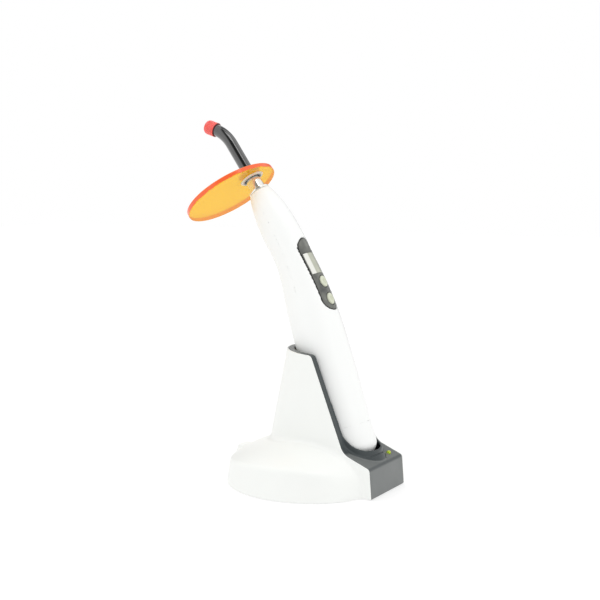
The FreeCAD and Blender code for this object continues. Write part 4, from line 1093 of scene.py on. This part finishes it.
def build_head():
    lathe("chrome_neck", rounded([
        (4.3, -12.6), (5.65, -12.6), (5.65, 0.1), (7.25, 0.1), (7.25, 1.8), (5.25, 1.8),
        (5.25, 9.0), (4.75, 9.0), (4.75, -4.0), (4.15, -4.0), (4.15, -6.4), (4.3, -6.4)],
        [0, 0, 0, 0.4, 0.4, 0.3, 0.2, 0.1, 0, 0, 0, 0]), NECK, "handpiece", "neck_chrome",
        ["metal_neck"])
    swept("bent_guide", guide_path(), 4.15, NECK, "guide", "guide_black", ["light_guide"])
    lathe("steel_sleeve", rounded([
        (4.17, -3.6), (4.7, -3.6), (4.7, 3.0), (4.4, 3.0), (4.4, 4.2), (4.7, 4.2),
        (4.7, 16.6), (4.17, 16.6)], [0, 0.2, 0.1, 0, 0, 0.1, 0.3, 0.1]), NECK, "guide",
        "neck_chrome", ["guide_sleeve"])
    dome = [(2.4 + 2.55 * math.cos(turn), 14.1 + 2.5 * math.sin(turn))
            for turn in np.linspace(0, math.pi / 2, 10)]
    cap = lathe("red_tip_cap", rounded(
        [(4.2, 7.7), (4.95, 7.7), *dome, (0, 16.6), (0, 15.1), (4.2, 15.1)],
        [0.15, 0.4] + [0] * 12 + [0.6]), TIP, "cap", "cap_red", ["tip_cap"])
    # paints shade on the cap's mouth ring, where it meets the guide
    mark(cap, "mouth_painted_shade", lambda x, y, z: TIP.local(x, y, z)[2] < 8.0)
    top, step = SHIELD_LOW + SHIELD_THICK, SHIELD_LOW + 0.7
    bush = lathe("grey_bush", rounded([
        (5.5, 10.2), (7.6, 10.2), (8.4, 10.9), (8.4, 11.18), (6.75, 11.18), (6.75, top + 0.02),
        (7.9, top + 0.02), (7.9, top + 0.8), (7.2, top + 1.5), (4.75, top + 1.5), (4.75, step),
        (5.5, step)], [0.2, 0.3, 0.2, 0.1, 0, 0, 0.2, 0.4, 0.3, 0.3, 0, 0]), NECK, "shield",
        "bush_grey", ["shield_bush"])
    # paints shade in the bush's lower hole and on its underside round it
    mark(bush, "bore_painted_shade", lambda x, y, z: bush_bore_shade(*NECK.local(x, y, z)))
    shield = moulded("orange_shield", eye_shield, (-35, -16.0, 10.5), (35, 54.5, 15.1), 0.55,
                     NECK, "shield", "shield_orange", ["eye_shield"])
    mark(shield, "rim", lambda x, y, z: shield_rim(*NECK.local(x, y, z)))


def mark(piece, name, share):
    """Gives a piece an attribute: what a rule says at each of its points, in millimetres."""
    points = np.array([vertex.co for vertex in piece.data.vertices]) / MM
    attribute = piece.data.attributes.new(name, "FLOAT", "POINT")
    attribute.data.foreach_set("value", np.asarray(share(*points.T), np.float32))


# how far out the bush's painted shade reaches, in millimetres
BUSH_SHADE_RADIUS = 6.5


def bush_bore_shade(x, y, z):
    """Painted shade on the bush: its wide lower hole and the ring of its underside round it."""
    return (np.hypot(x, y) < BUSH_SHADE_RADIUS) & (z < SHIELD_LOW + 1.0)


def shield_rim(x, y, z):
    """The acrylic's side face, not the rounded edges of its two faces."""
    depth = SHIELD_RADIUS - np.hypot(x, y - SHIELD_OFFSET)
    level = np.minimum(z - SHIELD_LOW, SHIELD_LOW + SHIELD_THICK - z)
    return (depth < 0.3) & (level > 0.15)


def paint_nodes():
    """Gives each CAD node that stays its material."""
    slots = {part["node"]: part["material_slot"] for part in frame["record"]["subparts"]}
    for name, node in frame["nodes"].items():
        node.data.materials.clear()
        node.data.materials.append(paints[slots[name]])


bpy.context.scene.view_settings.view_transform = "Standard"
add_camera()
add_world()
add_lamp("key", (-0.48, -0.5, 1.65), (0.7, 0.7), 2.6)
add_lamp("fill", (-0.2, 0.9, 1.1), (0.8, 0.8), 0.4)
add_floor()
paints = make_materials()
paint_nodes()
build_base()
build_handle()
build_head()
